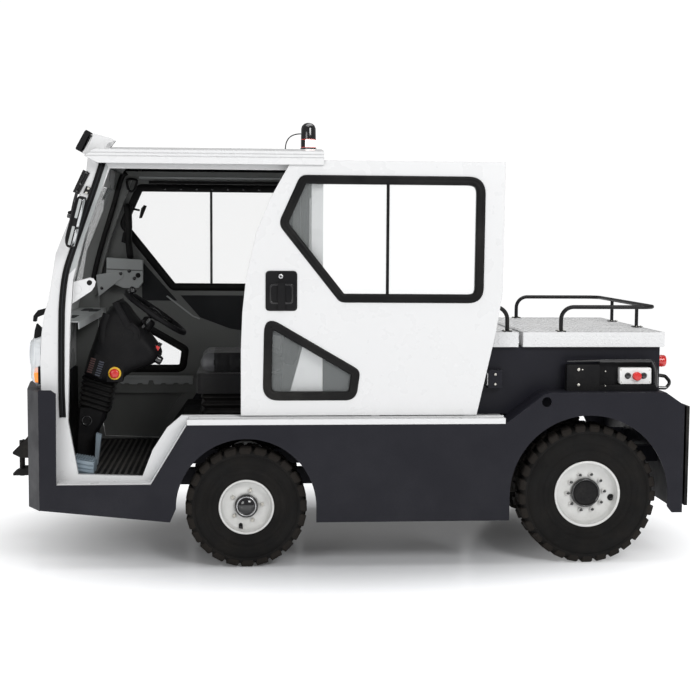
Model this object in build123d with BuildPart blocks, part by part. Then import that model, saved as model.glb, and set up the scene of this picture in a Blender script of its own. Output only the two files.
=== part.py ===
"""Airport baggage tug with a sliding-door cab: X forward, Y to its left, Z up, millimetres.

The origin is on the ground, midway between the tips of the two couplings.
Side outlines are (x, z) points. Those of the cab and nose count x from the front
axle (front_x) and those of the rear body count x from the rear axle (rear_x).
"""
import os
from math import cos, pi, radians, sin

from build123d import *

# --- driving dimensions -------------------------------------------------------
wheelbase = 1660
cab_front = 972               # front axle to the flat front of the cab
nose_depth = 103              # from there to the flat of the nose
coupling_reach = 132          # from there to the tip of the front coupling
rear_reach = 580              # rear axle to the tip of the rear coupling
front_x = (wheelbase + rear_reach - cab_front - nose_depth - coupling_reach) / 2
rear_x = front_x - wheelbase

half_width = 730              # outer face of the side plates
plate = 8                     # thickness of the side plates
fold = 12                     # thickness of the cab's folded panels
running_gap = 0.3             # clearance of a shaft, roller or lid at its seat
safe_gap = 6                  # clearance of a sliding panel

# wheels: tread radius, half width, bead radius, flange radius, shaft radius
tyre_outer_y = 710
front_tyre_r = 292
front_tyre_half = 85
front_bead_r = 122
front_flange_r = 133
front_shaft_r = 25
rear_tyre_r = 341
rear_tyre_half = 97
rear_bead_r = 150
rear_flange_r = 163
rear_shaft_r = 30
front_wheel_y = tyre_outer_y - front_tyre_half
rear_wheel_y = tyre_outer_y - rear_tyre_half
front_arch_r = front_tyre_r + 42
rear_arch_r = rear_tyre_r + 49

# frame
rail_in_y = 280
rail_out_y = 340
rail_h = 80
rail_top = 418
rear_rail_top = 520

# lower body
nose_x = front_x + cab_front + nose_depth
nose_corner_x = nose_x - 35
nose_corner_y = 610
fold_x = front_x + cab_front - 1    # where the nose meets the side plate
nose_low = 288
nose_high = 861
skirt_low = 221
step_low = 409                # lower edge of the step's cut-out
ledge_z = 720                 # top of the sill ledge
ledge_h = 27
fender_z = 843                # top of the rear fender
rear_low = 252
rear_plate_x = rear_x - 465   # outer face of the rear plate
hole_r = 24                   # lashing hole in the rear fender
hole_x = rear_x + 215
hole_z = 798

# cab
cab_y = 640                   # outer face of the cab's side frames
frame_t = 28                  # thickness of the side frames
cab_in_y = cab_y - frame_t
cab_rear_x = front_x - 366
floor_z = 430
platform_z = 655
sill_z = 729
opening_top = 1900
roof_low = 1922
roof_side = 1985
roof_crown = 2028
roof_y = 705
roof_t = 12
roof_front_x = front_x + 686

# sliding doors
door_t = 30
door_in_y = cab_y + 18
door_out_y = door_in_y + door_t
door_travel = 870
door_low = ledge_z + 12
door_high = 1945
seal_t = 6                    # how far the outer window seals stand proud
seal_w = 42
seal_lap = 12                 # how far a seal laps over the door's skin
glass_t = 6
glass_y = door_in_y + 12

# rear body and decks
box_y = 570
box_t = 6
box_top = 1053
box_rear_x = rear_x - 384
box_front_x = cab_rear_x - fold / 2
deck_y = 600
deck_z = 1126
deck_t = 5
deck_gap_front_x = rear_x + 332
deck_gap_rear_x = rear_x + 309
deck_rear_x = rear_x - 397
rail_tube_r = 10
rail_y = 550
rail_z = 1247                 # centre of the deck rails' top tube
hinge_x = (deck_gap_front_x + deck_gap_rear_x) / 2
hinge_z = deck_z + 6
hinge_r = 6

# driver's place
driver_y = 180
wheel_tilt = 35               # steering wheel's plane, degrees from level
wheel_x = front_x + 462
wheel_z = 1195
wheel_r = 176
grip_r = 14
seat_front_x = front_x + 250
seat_z = 1005

# steering
kingpin_y = 520
kingpin_r = 16
boss_r = 30
arm_x = -130                  # steering arm's eye, from the kingpin
tie_pin_r = 6
eye_r = 14
tie_z = 262

beacon_x = front_x - 324
beacon_r = 39
beacon_h = 148
gland_x = beacon_x + 120      # where the beacon's cable leaves the roof

os.makedirs("parts", exist_ok=True)


# --- makers -------------------------------------------------------------------
def keep(piece, name):
    """Name a finished piece and write its file."""
    piece.part.label = name
    export_step(piece.part, f"parts/{name}.step")


def slab(outline, y_low, y_high, mode=Mode.ADD, corners=None):
    """Extrude an outline of (x, z) points across the vehicle, its corners rounded where given."""
    with BuildSketch(Plane.XZ.offset(-y_high)) as face:
        with BuildLine():
            if corners:
                FilletPolyline(*outline, radius=corners, close=True)
            else:
                Polyline(*outline, close=True)
        make_face()
    extrude(face.sketch, amount=y_high - y_low, mode=mode)


def sheet(path, thickness, y_low, y_high, side=Side.RIGHT):
    """Fold a sheet along a path of (x, z) points and extrude it across the vehicle."""
    with BuildSketch(Plane.XZ.offset(-y_high)) as face:
        with BuildLine():
            Polyline(*path)
            offset(amount=thickness, side=side)
        make_face()
    extrude(face.sketch, amount=y_high - y_low)


def plan(outline, z_low, z_high, mode=Mode.ADD):
    """Extrude an outline of (x, y) points upwards."""
    with BuildSketch(Plane.XY.offset(z_low)) as face:
        with BuildLine():
            Polyline(*outline, close=True)
        make_face()
    extrude(face.sketch, amount=z_high - z_low, mode=mode)


def block(x_low, x_high, y_low, y_high, z_low, z_high, mode=Mode.ADD):
    """A box between two corners."""
    with Locations(((x_low + x_high) / 2, (y_low + y_high) / 2, (z_low + z_high) / 2)):
        Box(x_high - x_low, y_high - y_low, z_high - z_low, mode=mode)


def rod(start, end, radius, mode=Mode.ADD):
    """A round bar between two points."""
    run = Vector(*end) - Vector(*start)
    with BuildSketch(Plane(origin=start, z_dir=run.normalized())) as face:
        Circle(radius)
    extrude(face.sketch, amount=run.length, mode=mode)


def tube_path(points, bends, radius, sides=0):
    """A tube along straight runs joined by bends, round or with a number of flats."""
    with BuildLine() as path:
        FilletPolyline(*points, radius=bends)
    with BuildSketch(Plane(origin=path.line @ 0, z_dir=path.line % 0)) as ring:
        if sides:
            RegularPolygon(radius, sides)
        else:
            Circle(radius)
    sweep(ring.sketch, path=path.line)


def front(points):
    """Points counted from the front axle."""
    return [(front_x + x, z) for x, z in points]


def rear(points):
    """Points counted from the rear axle."""
    return [(rear_x + x, z) for x, z in points]


def mirrored(piece, name):
    """The same piece on the other side."""
    with BuildPart() as other:
        mirror(piece.part, about=Plane.XZ)
    keep(other, name)


# --- frame and lower body -----------------------------------------------------
rail_low = rail_top - rail_h
rail_front_x = nose_x - plate - 10
rear_rail_low = rear_rail_top - rail_h
rear_plate_in = rear_plate_x + plate
rail_outline = [
    (rail_front_x, rail_low), (rear_x + 560, rail_low), (rear_x + 430, rear_rail_low),
    (rear_plate_in, rear_rail_low), (rear_plate_in, rear_rail_top),
    (rear_x + 410, rear_rail_top), (rear_x + 540, rail_top), (rail_front_x, rail_top),
]
# cross members: x of the middle, half reach, low, high
cross_members = [
    (nose_x - plate - 30, rail_in_y, rail_low, rail_top),
    (front_x + 620, rail_in_y, rail_low, rail_top),
    (front_x - 450, half_width - plate, rail_low, rail_top),
    (rear_x + 600, half_width - plate, rail_low, rail_top),
    (rear_x - 200, rail_in_y, rear_rail_low, rear_rail_top),
]
with BuildPart() as chassis_frame:
    for sign in (1, -1):
        slab(rail_outline, *sorted((sign * rail_in_y, sign * rail_out_y)))
    for x, reach, low, high in cross_members:
        block(x - 30, x + 30, -reach, reach, low, high)
    block(rear_plate_x, rear_plate_in, -half_width, half_width, rear_low, 784)
keep(chassis_frame, "chassis_frame")

side_outline = (
    front([(971, nose_low + 2), (971, nose_high), (913, nose_high), (890, 844), (893, step_low),
           (452, step_low), (280, ledge_z - ledge_h)])
    + rear([(415, ledge_z - ledge_h), (235, fender_z - 14), (200, fender_z), (-371, fender_z),
            (-457, 784), (-457, rear_low), (-414, rear_low), (-390, rear_low + 30)])
    + [(rear_x - rear_arch_r, rear_tyre_r), (rear_x + rear_arch_r, rear_tyre_r),
       (rear_x + rear_arch_r, skirt_low), (front_x - front_arch_r, skirt_low),
       (front_x - front_arch_r, front_tyre_r), (front_x + front_arch_r, front_tyre_r),
       (front_x + front_arch_r + 28, skirt_low + 7)]
)
fender_top = rear([(415, ledge_z - ledge_h), (235, fender_z - 14), (200, fender_z),
                   (-371, fender_z), (-457, 784)])
with BuildPart() as side_plates:
    slab(side_outline, half_width - plate, half_width)
    with BuildSketch(Plane.XZ.offset(-half_width)) as arches:
        with Locations((front_x, front_tyre_r)):
            Circle(front_arch_r)
        with Locations((rear_x, rear_tyre_r)):
            Circle(rear_arch_r)
        with Locations((hole_x, hole_z)):
            Circle(hole_r)
    extrude(arches.sketch, amount=plate, mode=Mode.SUBTRACT)
    sheet(fender_top, plate, box_y, half_width - plate, side=Side.LEFT)
    mirror(about=Plane.XZ)
keep(side_plates, "side_plates")

with BuildPart() as front_bumper:
    with BuildSketch(Plane.XY.offset(nose_low)) as nose:
        with BuildLine():
            Polyline((fold_x, half_width), (nose_corner_x, nose_corner_y), (nose_x, 300),
                     (nose_x, -300), (nose_corner_x, -nose_corner_y), (fold_x, -half_width))
            offset(amount=plate, side=Side.RIGHT)
        make_face()
    extrude(nose.sketch, amount=nose_high - 6 - nose_low)
    block(fold_x - 20, fold_x, -half_width, half_width, nose_low, nose_high, mode=Mode.SUBTRACT)
    plan([(front_x + 973, cab_y), (fold_x, half_width - plate), (nose_corner_x - plate, nose_corner_y),
          (nose_x - plate, 300), (nose_x - plate, -300), (nose_corner_x - plate, -nose_corner_y),
          (fold_x, plate - half_width), (front_x + 973, -cab_y)], nose_high - 14, nose_high - 6)
keep(front_bumper, "front_bumper")

bumper_gap = 12
bumper_t = 15
coupling_half = 60
coupling_pin_r = 14
with BuildPart() as rear_bumper:
    block(rear_plate_x - bumper_gap - bumper_t, rear_plate_x - bumper_gap,
          5 - half_width, half_width - 5, 286, 774)
    block(rear_plate_x - 50, rear_plate_x - bumper_gap, -120, 120, 280, 560, mode=Mode.SUBTRACT)
    for y in (-600, -300, 300, 600):
        for z in (370, 690):
            rod((rear_plate_x, y, z), (rear_plate_x - bumper_gap, y, z), 20)
keep(rear_bumper, "rear_bumper")

# --- cab ----------------------------------------------------------------------
pillar_front = front([(968, 394), (972, 988), (965, 1123), (950, 1219), (930, 1282),
                      (894, 1499), (753, 1842), (741, roof_low + 26.5), (688, roof_low),
                      (672, roof_low), (672, door_high)])
side_frame = (pillar_front
              + [(cab_rear_x, door_high), (cab_rear_x, ledge_z - ledge_h)]
              + front([(283, ledge_z - ledge_h), (457, 394)]))
doorway = front([(-180, sill_z), (310, sill_z), (379, 669), (448, 562), (497, 435), (801, 446),
                 (846, 701), (832, 1142), (814, 1378), (763, 1563), (640, opening_top),
                 (-310, opening_top), (-310, 1321), (-290, 1133)])
step_hatch = front([(310, sill_z), (379, 669), (448, 562), (497, 435), (801, 446), (846, sill_z)])
ledge_rear_x = rear_x + 415
with BuildPart() as cab_sides:
    slab(side_frame, cab_in_y, cab_y)
    slab(doorway, cab_in_y, cab_y, mode=Mode.SUBTRACT)
    sheet(front([(893, step_low), (452, step_low), (281, ledge_z - ledge_h)]), 6,
          cab_y, half_width - plate, side=Side.RIGHT)
    block(ledge_rear_x, front_x + 280, cab_y, half_width, ledge_z - ledge_h, ledge_z)
    block(ledge_rear_x, box_front_x, box_y, cab_y, ledge_z - ledge_h, ledge_z)
    block(ledge_rear_x, front_x + 270, door_in_y + 10, door_in_y + 20, ledge_z, ledge_z + 7)
    slab(front([(850, 1355), (738, 1384), (710, 1365), (850, 1244)]), cab_in_y - 12, cab_in_y)
    rod((front_x + 800, cab_in_y - 12, 1330), (front_x + 800, cab_in_y, 1330), 20, mode=Mode.SUBTRACT)
    mirror(about=Plane.XZ)
    slab(step_hatch, -cab_y, 6 - cab_y)
keep(cab_sides, "cab_sides")

glass_low = 1250
with BuildPart() as front_cowl:
    sheet(front([(cab_front, nose_high - 6), (cab_front, 988), (965, 1123), (950, 1219), (940, glass_low)]), fold,
          -cab_in_y, cab_in_y, side=Side.LEFT)
keep(front_cowl, "front_cowl")

window_low = 1200
window_high = 1800
window_half = 480
with BuildPart() as rear_wall:
    block(cab_rear_x, cab_rear_x + fold, -cab_in_y, cab_in_y, platform_z, door_high)
    block(cab_rear_x, cab_rear_x + fold, -window_half, window_half, window_low, window_high,
          mode=Mode.SUBTRACT)
keep(rear_wall, "rear_wall")

with BuildPart() as cab_glass:
    sheet(front([(940, glass_low), (930, 1282), (894, 1499), (754, 1840)]), glass_t,
          -cab_in_y, cab_in_y, side=Side.LEFT)
    block(cab_rear_x + 3, cab_rear_x + 9, -window_half, window_half, window_low, window_high)
keep(cab_glass, "cab_glass")


def roof_form(inset):
    """The crowned roof block, its walls drawn in by an inset."""
    with BuildPart() as form:
        with BuildSketch(Plane.YZ.offset(cab_rear_x + inset)) as section:
            with BuildLine():
                side, top, crown = roof_y - inset, roof_side - inset, roof_crown - inset
                Polyline((-side, top), (-side, roof_low), (side, roof_low), (side, top))
                ThreePointArc((side, top), (0, crown), (-side, top))
            make_face()
        extrude(section.sketch, amount=roof_front_x + 64 - inset - cab_rear_x - inset)
        slab([(roof_front_x - inset, roof_low - 1), (roof_front_x + 64 - inset, roof_low + 31),
              (roof_front_x - 14 - inset, roof_crown - 16), (roof_front_x - 40 - inset, roof_crown + 20),
              (roof_front_x + 90, roof_crown + 20), (roof_front_x + 90, roof_low - 1)],
             -roof_y - 10, roof_y + 10, mode=Mode.SUBTRACT)
    return form.part


roof_outer = roof_form(0)
roof_inner = roof_form(roof_t)
guide_half = 14
guide_y = (door_in_y + door_out_y) / 2
with BuildPart() as roof:
    add(roof_outer)
    add(roof_inner, mode=Mode.SUBTRACT)
    sheet(front([(753, 1842), (740, roof_low + 30)]), fold, -cab_in_y, cab_in_y, side=Side.LEFT)
    for sign in (1, -1):
        for inner in (guide_y - guide_half - 4, guide_y + guide_half):
            block(cab_rear_x + 2, front_x + 655, *sorted((sign * inner, sign * (inner + 4))),
                  1952, roof_side)
        block(cab_rear_x - 10, cab_rear_x + 20, *sorted((sign * cab_y, sign * (roof_y - roof_t))),
              roof_low - 8, door_high + safe_gap, mode=Mode.SUBTRACT)
        slab(front([(728, 2060), (613, 2030), (640, 1996), (700, 1990), (740, 1960), (770, 1976)]),
             *sorted((sign * 590, sign * 610)))
        for groove_z in (1955, 1970):
            block(cab_rear_x - 1, roof_front_x + 90, *sorted((sign * (roof_y - 3), sign * (roof_y + 1))),
                  groove_z - 2, groove_z + 2, mode=Mode.SUBTRACT)
    block(cab_rear_x - 10, cab_rear_x + 20, -cab_y, cab_y, roof_low - 8, door_high, mode=Mode.SUBTRACT)
    rod((gland_x, 0, roof_crown - 4), (gland_x, 0, roof_crown + 8), 10)
keep(roof, "roof")

with BuildPart() as floor_pan:
    sheet(front([(952, nose_high - 14), (952, floor_z), (490, floor_z), (330, platform_z)])
          + [(cab_rear_x, platform_z)], fold, -cab_in_y, cab_in_y, side=Side.LEFT)
keep(floor_pan, "floor_pan")

# --- driver's place -----------------------------------------------------------
tilt = radians(wheel_tilt)
axis_up = Vector(-sin(tilt), 0, cos(tilt))
hub_at = Vector(wheel_x, driver_y, wheel_z)
hub_low = -30
pod_low_y = driver_y - 140
pod_high_y = driver_y + 150
fold_count = 6
fold_front, fold_back = [], []
for i in range(2 * fold_count + 1):
    share = i / (2 * fold_count)
    proud = 9 * (i % 2)
    fold_front.append((840 + 22 * share + proud, 863 - 172 * share))
    fold_back.append((672 + 37 * share - proud, 863 - 172 * share))
with BuildPart() as dash_pod:
    slab(front([(688, 1235), (637, 1258), (540, 1190), (470, 1100), (432, 968), (470, 935),
                (755, 925), (752, 1110)]), pod_low_y, pod_high_y, corners=[20, 24, 30, 60, 16, 20, 24, 60])
    rod((front_x + 624, pod_low_y - 12, 1071), (front_x + 624, pod_high_y + 12, 1071), 97)
    slab(front([(770, 930), (600, 930)] + fold_back + [(709, floor_z), (862, floor_z)]
               + fold_front[::-1]), driver_y - 80, driver_y + 110)
    rod((front_x + 654, pod_high_y - 1, 900), (front_x + 654, pod_high_y + 4, 900), 32)
    rod((front_x + 654, pod_high_y + 4, 900), (front_x + 654, pod_high_y + 26, 900), 22)
    slab(front([(606, 940), (702, 940), (690, 862), (618, 862)]), driver_y + 60, pod_high_y)
    rod(tuple(hub_at + axis_up * -300), tuple(hub_at + axis_up * (hub_low - running_gap)), 24)
keep(dash_pod, "dash_pod")

with BuildPart() as steering_wheel:
    with BuildSketch(Plane(origin=hub_at, x_dir=(0, 1, 0), z_dir=(cos(tilt), 0, sin(tilt)))) as ring:
        with Locations((wheel_r, 0)):
            RegularPolygon(grip_r, 8)
    revolve(ring.sketch, axis=Axis(hub_at, axis_up))
    rod(tuple(hub_at + axis_up * hub_low), tuple(hub_at + axis_up * 12), 42)
    with Locations(Plane(origin=hub_at, x_dir=(0, 1, 0), z_dir=axis_up)):
        with PolarLocations(wheel_r / 2, 3, start_angle=90):
            Box(wheel_r, 26, 9)
    knob_at = hub_at + Vector(cos(tilt), 0.55, sin(tilt)).normalized() * wheel_r
    rod(tuple(knob_at), tuple(knob_at + axis_up * 52), 20)
keep(steering_wheel, "steering_wheel")

with BuildPart() as pedals:
    slab(front([(730, floor_z), (835, floor_z), (835, 500), (815, 500)]), 440, 590)
    slab(front([(738, floor_z), (752, floor_z), (772, 560), (748, 562)]), driver_y + 115, driver_y + 165)
keep(pedals, "pedals")

seat_half = 230
seat_low = seat_z - 100
bellows = 5
seat_top = seat_low - running_gap
with BuildPart() as seat_base:
    block(seat_front_x - 430, seat_front_x - 10, driver_y - 200, driver_y + 200, platform_z,
          platform_z + 40)
    block(seat_front_x - 430, seat_front_x - 10, driver_y - 200, driver_y + 200, seat_top - 24, seat_top)
    rise = (seat_top - 24 - platform_z - 40) / bellows
    for i in range(bellows):
        low = platform_z + 40 + i * rise
        block(seat_front_x - 402, seat_front_x - 38, driver_y - 172, driver_y + 172, low, low + rise)
        block(seat_front_x - 420, seat_front_x - 20, driver_y - 190, driver_y + 190,
              low + rise * 0.3, low + rise * 0.7)
keep(seat_base, "seat_base")
with BuildPart() as seat_cushion:
    block(seat_front_x - 460, seat_front_x, driver_y - seat_half, driver_y + seat_half,
          seat_low, seat_z)
keep(seat_cushion, "seat_cushion")
with BuildPart() as seat_back:
    slab([(seat_front_x - 410, seat_z + running_gap), (seat_front_x - 480, seat_z + 440),
          (seat_front_x - 580, seat_z + 440), (seat_front_x - 545, seat_low),
          (seat_front_x - 460 - running_gap, seat_low), (seat_front_x - 460 - running_gap,
          seat_z + running_gap)], driver_y - seat_half + 10, driver_y + seat_half - 10)
keep(seat_back, "seat_back")

# --- rear body ----------------------------------------------------------------
with BuildPart() as rear_body:
    block(box_rear_x, box_front_x, -box_y, box_y, ledge_z, box_top)
    block(box_rear_x + box_t, box_front_x - box_t, box_t - box_y, box_y - box_t,
          ledge_z, box_top - box_t, mode=Mode.SUBTRACT)
    block(box_rear_x + 40, box_front_x - 40, 40 - box_y, box_y - 40, ledge_z, box_top,
          mode=Mode.SUBTRACT)
    for sign in (1, -1):
        block(*[rear_x + x for x in (412, 481)], *sorted((sign * box_y, sign * (box_y + 40))), 852, 940)
        tube_path([(box_rear_x + 3, sign * 480, 905), (box_rear_x - 60, sign * 480, 896),
                   (box_rear_x - 88, sign * 480, 864), (box_rear_x - 66, sign * 480, 836),
                   (box_rear_x + 3, sign * 480, 838)], [24, 20, 16], 9, sides=8)
keep(rear_body, "rear_body")

with BuildPart() as front_deck:
    block(deck_gap_front_x, box_front_x, -deck_y, deck_y, box_top, deck_z)
    block(deck_gap_front_x + deck_t, box_front_x - deck_t, deck_t - deck_y, deck_y - deck_t,
          box_top, deck_z - deck_t, mode=Mode.SUBTRACT)
    for y in (-430, 400):
        block(hinge_x, deck_gap_front_x + 30, y, y + 30, deck_z, deck_z + 3)
        rod((hinge_x, y, hinge_z), (hinge_x, y + 30, hinge_z), hinge_r)
keep(front_deck, "front_deck")

with BuildPart() as rear_deck:
    block(deck_rear_x, deck_gap_rear_x, -deck_y, deck_y, box_top + running_gap, deck_z)
    block(deck_rear_x + deck_t, deck_gap_rear_x - deck_t, deck_t - deck_y, deck_y - deck_t,
          box_top + running_gap, deck_z - deck_t, mode=Mode.SUBTRACT)
    for y in (-399, 431):
        block(deck_gap_rear_x - 30, hinge_x, y, y + 30, deck_z, deck_z + 3)
        rod((hinge_x, y, hinge_z), (hinge_x, y + 30, hinge_z), hinge_r)
keep(rear_deck, "rear_deck")

rail_bend = 62
foot_half = 22
hoop_front_x = cab_rear_x - 110
hoop_rear_x = rear_x + 380
with BuildPart() as front_deck_rails:
    tube_path([(hoop_rear_x, rail_y, deck_z), (hoop_rear_x, rail_y, rail_z),
               (hoop_front_x, rail_y, rail_z), (hoop_front_x, rail_y, deck_z)],
              rail_bend, rail_tube_r)
    for x in (hoop_rear_x, hoop_front_x):
        block(x - foot_half, x + foot_half, rail_y - foot_half, rail_y + foot_half, deck_z, deck_z + 5)
    mirror(about=Plane.XZ)
keep(front_deck_rails, "front_deck_rails")

hoop_post_x = rear_x + 111
hoop_back_x = rear_x - 362
with BuildPart() as rear_deck_rail:
    tube_path([(hoop_post_x, rail_y, deck_z), (hoop_post_x, rail_y, rail_z),
               (hoop_back_x, rail_y, rail_z), (hoop_back_x, -rail_y, rail_z),
               (hoop_post_x, -rail_y, rail_z), (hoop_post_x, -rail_y, deck_z)],
              rail_bend, rail_tube_r)
    for y in (-235, 235):
        rod((hoop_back_x, y, deck_z), (hoop_back_x, y, rail_z), rail_tube_r - 1)
        block(hoop_back_x - foot_half, hoop_back_x + foot_half, y - foot_half, y + foot_half,
              deck_z, deck_z + 5)
    for y in (-rail_y, rail_y):
        block(hoop_post_x - foot_half, hoop_post_x + foot_half, y - foot_half, y + foot_half,
              deck_z, deck_z + 5)
keep(rear_deck_rail, "rear_deck_rail")

with BuildPart() as battery:
    block(rear_x + 580, front_x - 400, -480, 480, rail_top, 1000)
keep(battery, "battery")

# --- axles and steering -------------------------------------------------------
with BuildPart() as front_axle:
    block(front_x - 35, front_x + 35, 28 - kingpin_y, kingpin_y - 28, front_tyre_r - 30, front_tyre_r + 30)
    for sign in (1, -1):
        rod((front_x, sign * kingpin_y, front_tyre_r - 37), (front_x, sign * kingpin_y, front_tyre_r + 37),
            boss_r)
        rod((front_x, sign * kingpin_y, front_tyre_r - 37), (front_x, sign * kingpin_y, front_tyre_r + 37),
            kingpin_r, mode=Mode.SUBTRACT)
        block(front_x - 60, front_x + 60, *sorted((sign * rail_in_y, sign * rail_out_y)),
              front_tyre_r + 30, rail_low)
keep(front_axle, "front_axle")

ear_low = front_tyre_r - 37 - 0.5
ear_high = front_tyre_r + 37 + 0.5
ear_t = 24
web_y = kingpin_y + boss_r + 1
stub_end_y = front_wheel_y + 25
tie_x = front_x + arm_x
with BuildPart() as knuckle_left:
    rod((front_x, kingpin_y, ear_low - ear_t), (front_x, kingpin_y, ear_high + ear_t),
        kingpin_r - running_gap)
    for low in (ear_low - ear_t, ear_high):
        rod((front_x, kingpin_y, low), (front_x, kingpin_y, low + ear_t), boss_r)
        block(front_x - boss_r, front_x + boss_r, kingpin_y, web_y + 15, low, low + ear_t)
    block(front_x - boss_r, front_x + boss_r, web_y, web_y + 15, ear_low - ear_t, ear_high + ear_t)
    rod((front_x, web_y + 15, front_tyre_r), (front_x, stub_end_y, front_tyre_r), front_shaft_r)
    plan([(front_x, kingpin_y - boss_r + 6), (front_x, kingpin_y + 20), (tie_x, kingpin_y + 12),
          (tie_x, kingpin_y - 12)], ear_low - ear_t, ear_low - 4)
    rod((tie_x, kingpin_y, ear_low - ear_t), (tie_x, kingpin_y, ear_low - 4), eye_r)
    rod((tie_x, kingpin_y, ear_low - 4), (tie_x, kingpin_y, tie_z + 22), tie_pin_r)
keep(knuckle_left, "knuckle_left")
mirrored(knuckle_left, "knuckle_right")

with BuildPart() as tie_rod:
    rod((tie_x, -kingpin_y, tie_z), (tie_x, kingpin_y, tie_z), 9)
    for sign in (1, -1):
        eye_low, eye_high = (tie_x, sign * kingpin_y, tie_z - 11), (tie_x, sign * kingpin_y, tie_z + 14)
        rod(eye_low, eye_high, eye_r)
        rod(eye_low, eye_high, tie_pin_r + running_gap, mode=Mode.SUBTRACT)
keep(tie_rod, "tie_rod")

rear_stub_y = rear_wheel_y + 30
with BuildPart() as rear_axle:
    rod((rear_x, -500, rear_tyre_r), (rear_x, 500, rear_tyre_r), 50)
    rod((rear_x, -rear_stub_y, rear_tyre_r), (rear_x, rear_stub_y, rear_tyre_r), rear_shaft_r)
    rod((rear_x, -90, rear_tyre_r), (rear_x, 90, rear_tyre_r), 125)
    for sign in (1, -1):
        across = sorted((sign * (rail_in_y + 6), sign * (rail_out_y - 6)))
        block(rear_x - 60, rear_x + 60, *across, rear_tyre_r, rear_tyre_r + 70)
        for reach, low in ((330, 12), (250, 22), (170, 32)):
            slab(rear([(reach, rear_rail_low - low + 8), (reach, rear_rail_low - low), (60, rear_tyre_r + 70),
                       (-60, rear_tyre_r + 70), (-reach, rear_rail_low - low),
                       (-reach, rear_rail_low - low + 8), (-60, rear_tyre_r + 88), (60, rear_tyre_r + 88)]),
                 *across)
        for end in (-318, 318):
            block(rear_x + end - 16, rear_x + end + 16, *across, rear_rail_low - 16, rear_rail_low)
keep(rear_axle, "rear_axle")
with BuildPart() as drive_motor:
    rod((rear_x + 125, 0, rear_tyre_r), (rear_x + 430, 0, rear_tyre_r), 120)
keep(drive_motor, "drive_motor")


# --- wheels -------------------------------------------------------------------
def wheel_plane(x, y, radius):
    """Upright plane through a wheel's axis: first across the vehicle, then up from the axis."""
    return Plane(origin=(x, y, radius), x_dir=(0, 1, 0), z_dir=(1, 0, 0))


def spin(outline, plane):
    """Turn an outline of (across, radius) points about a wheel's axis."""
    with BuildSketch(plane) as face:
        with BuildLine():
            Polyline(*outline, close=True)
        make_face()
    revolve(face.sketch, axis=Axis(plane.origin, (0, 1, 0)))


def lug_ring(plane, tip_r, base_r, lugs, phase):
    """Section of a tread: flat-topped lugs and the gaps between them."""
    pitch = 360 / lugs
    flat = cos(radians(pitch / 4))
    corners = []
    for i in range(lugs):
        for share, radius in ((-0.25, tip_r), (0.25, tip_r), (0.25, base_r), (0.75, base_r)):
            angle = radians((i + share) * pitch + phase)
            corners.append((radius / flat * cos(angle), radius / flat * sin(angle)))
    with BuildSketch(plane) as face:
        with BuildLine():
            Polyline(*corners, close=True)
        make_face()
    return face.sketch


def half_tread(plane, half, tread_r, lugs, phase):
    """The tread from the middle to one shoulder, each lug and gap sloping over the shoulder."""
    flats = 2 * lugs
    base_r = tread_r - lug_depth
    over_r, over = shoulder_fall * 0.1, shoulder * 0.1
    cut = [(tread_r + over_r, half - shoulder - over), (tread_r - shoulder_fall - over_r, half + over),
           (tread_r + over_r, half + over)]
    with BuildPart() as body:
        with BuildSketch(plane):
            RegularPolygon(base_r, flats, major_radius=False, rotation=phase + 180 / flats)
        extrude(amount=half)
        lug_plane = plane.offset(center_groove / 2)
        extrude(lug_ring(lug_plane, tread_r, base_r, lugs, phase), amount=half - center_groove / 2)
        for i in range(flats):
            turn = radians(i * 360 / flats + phase)
            outwards = plane.x_dir * cos(turn) + plane.y_dir * sin(turn)
            along = plane.x_dir * sin(turn) - plane.y_dir * cos(turn)
            with BuildSketch(Plane(origin=plane.origin, x_dir=outwards, z_dir=along)):
                with BuildLine():
                    Polyline(*cut, close=True)
                make_face()
        extrude(amount=tread_r * 1.2 * sin(pi / flats), both=True, mode=Mode.SUBTRACT)
    return body.part


lug_depth = 14
center_groove = 8             # width of the groove between the two rows of lugs
shoulder = 15                 # width of the sloping shoulder
shoulder_fall = 62            # and how far it drops
sidewall = 15                 # depth of the sidewall's hollow
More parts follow.
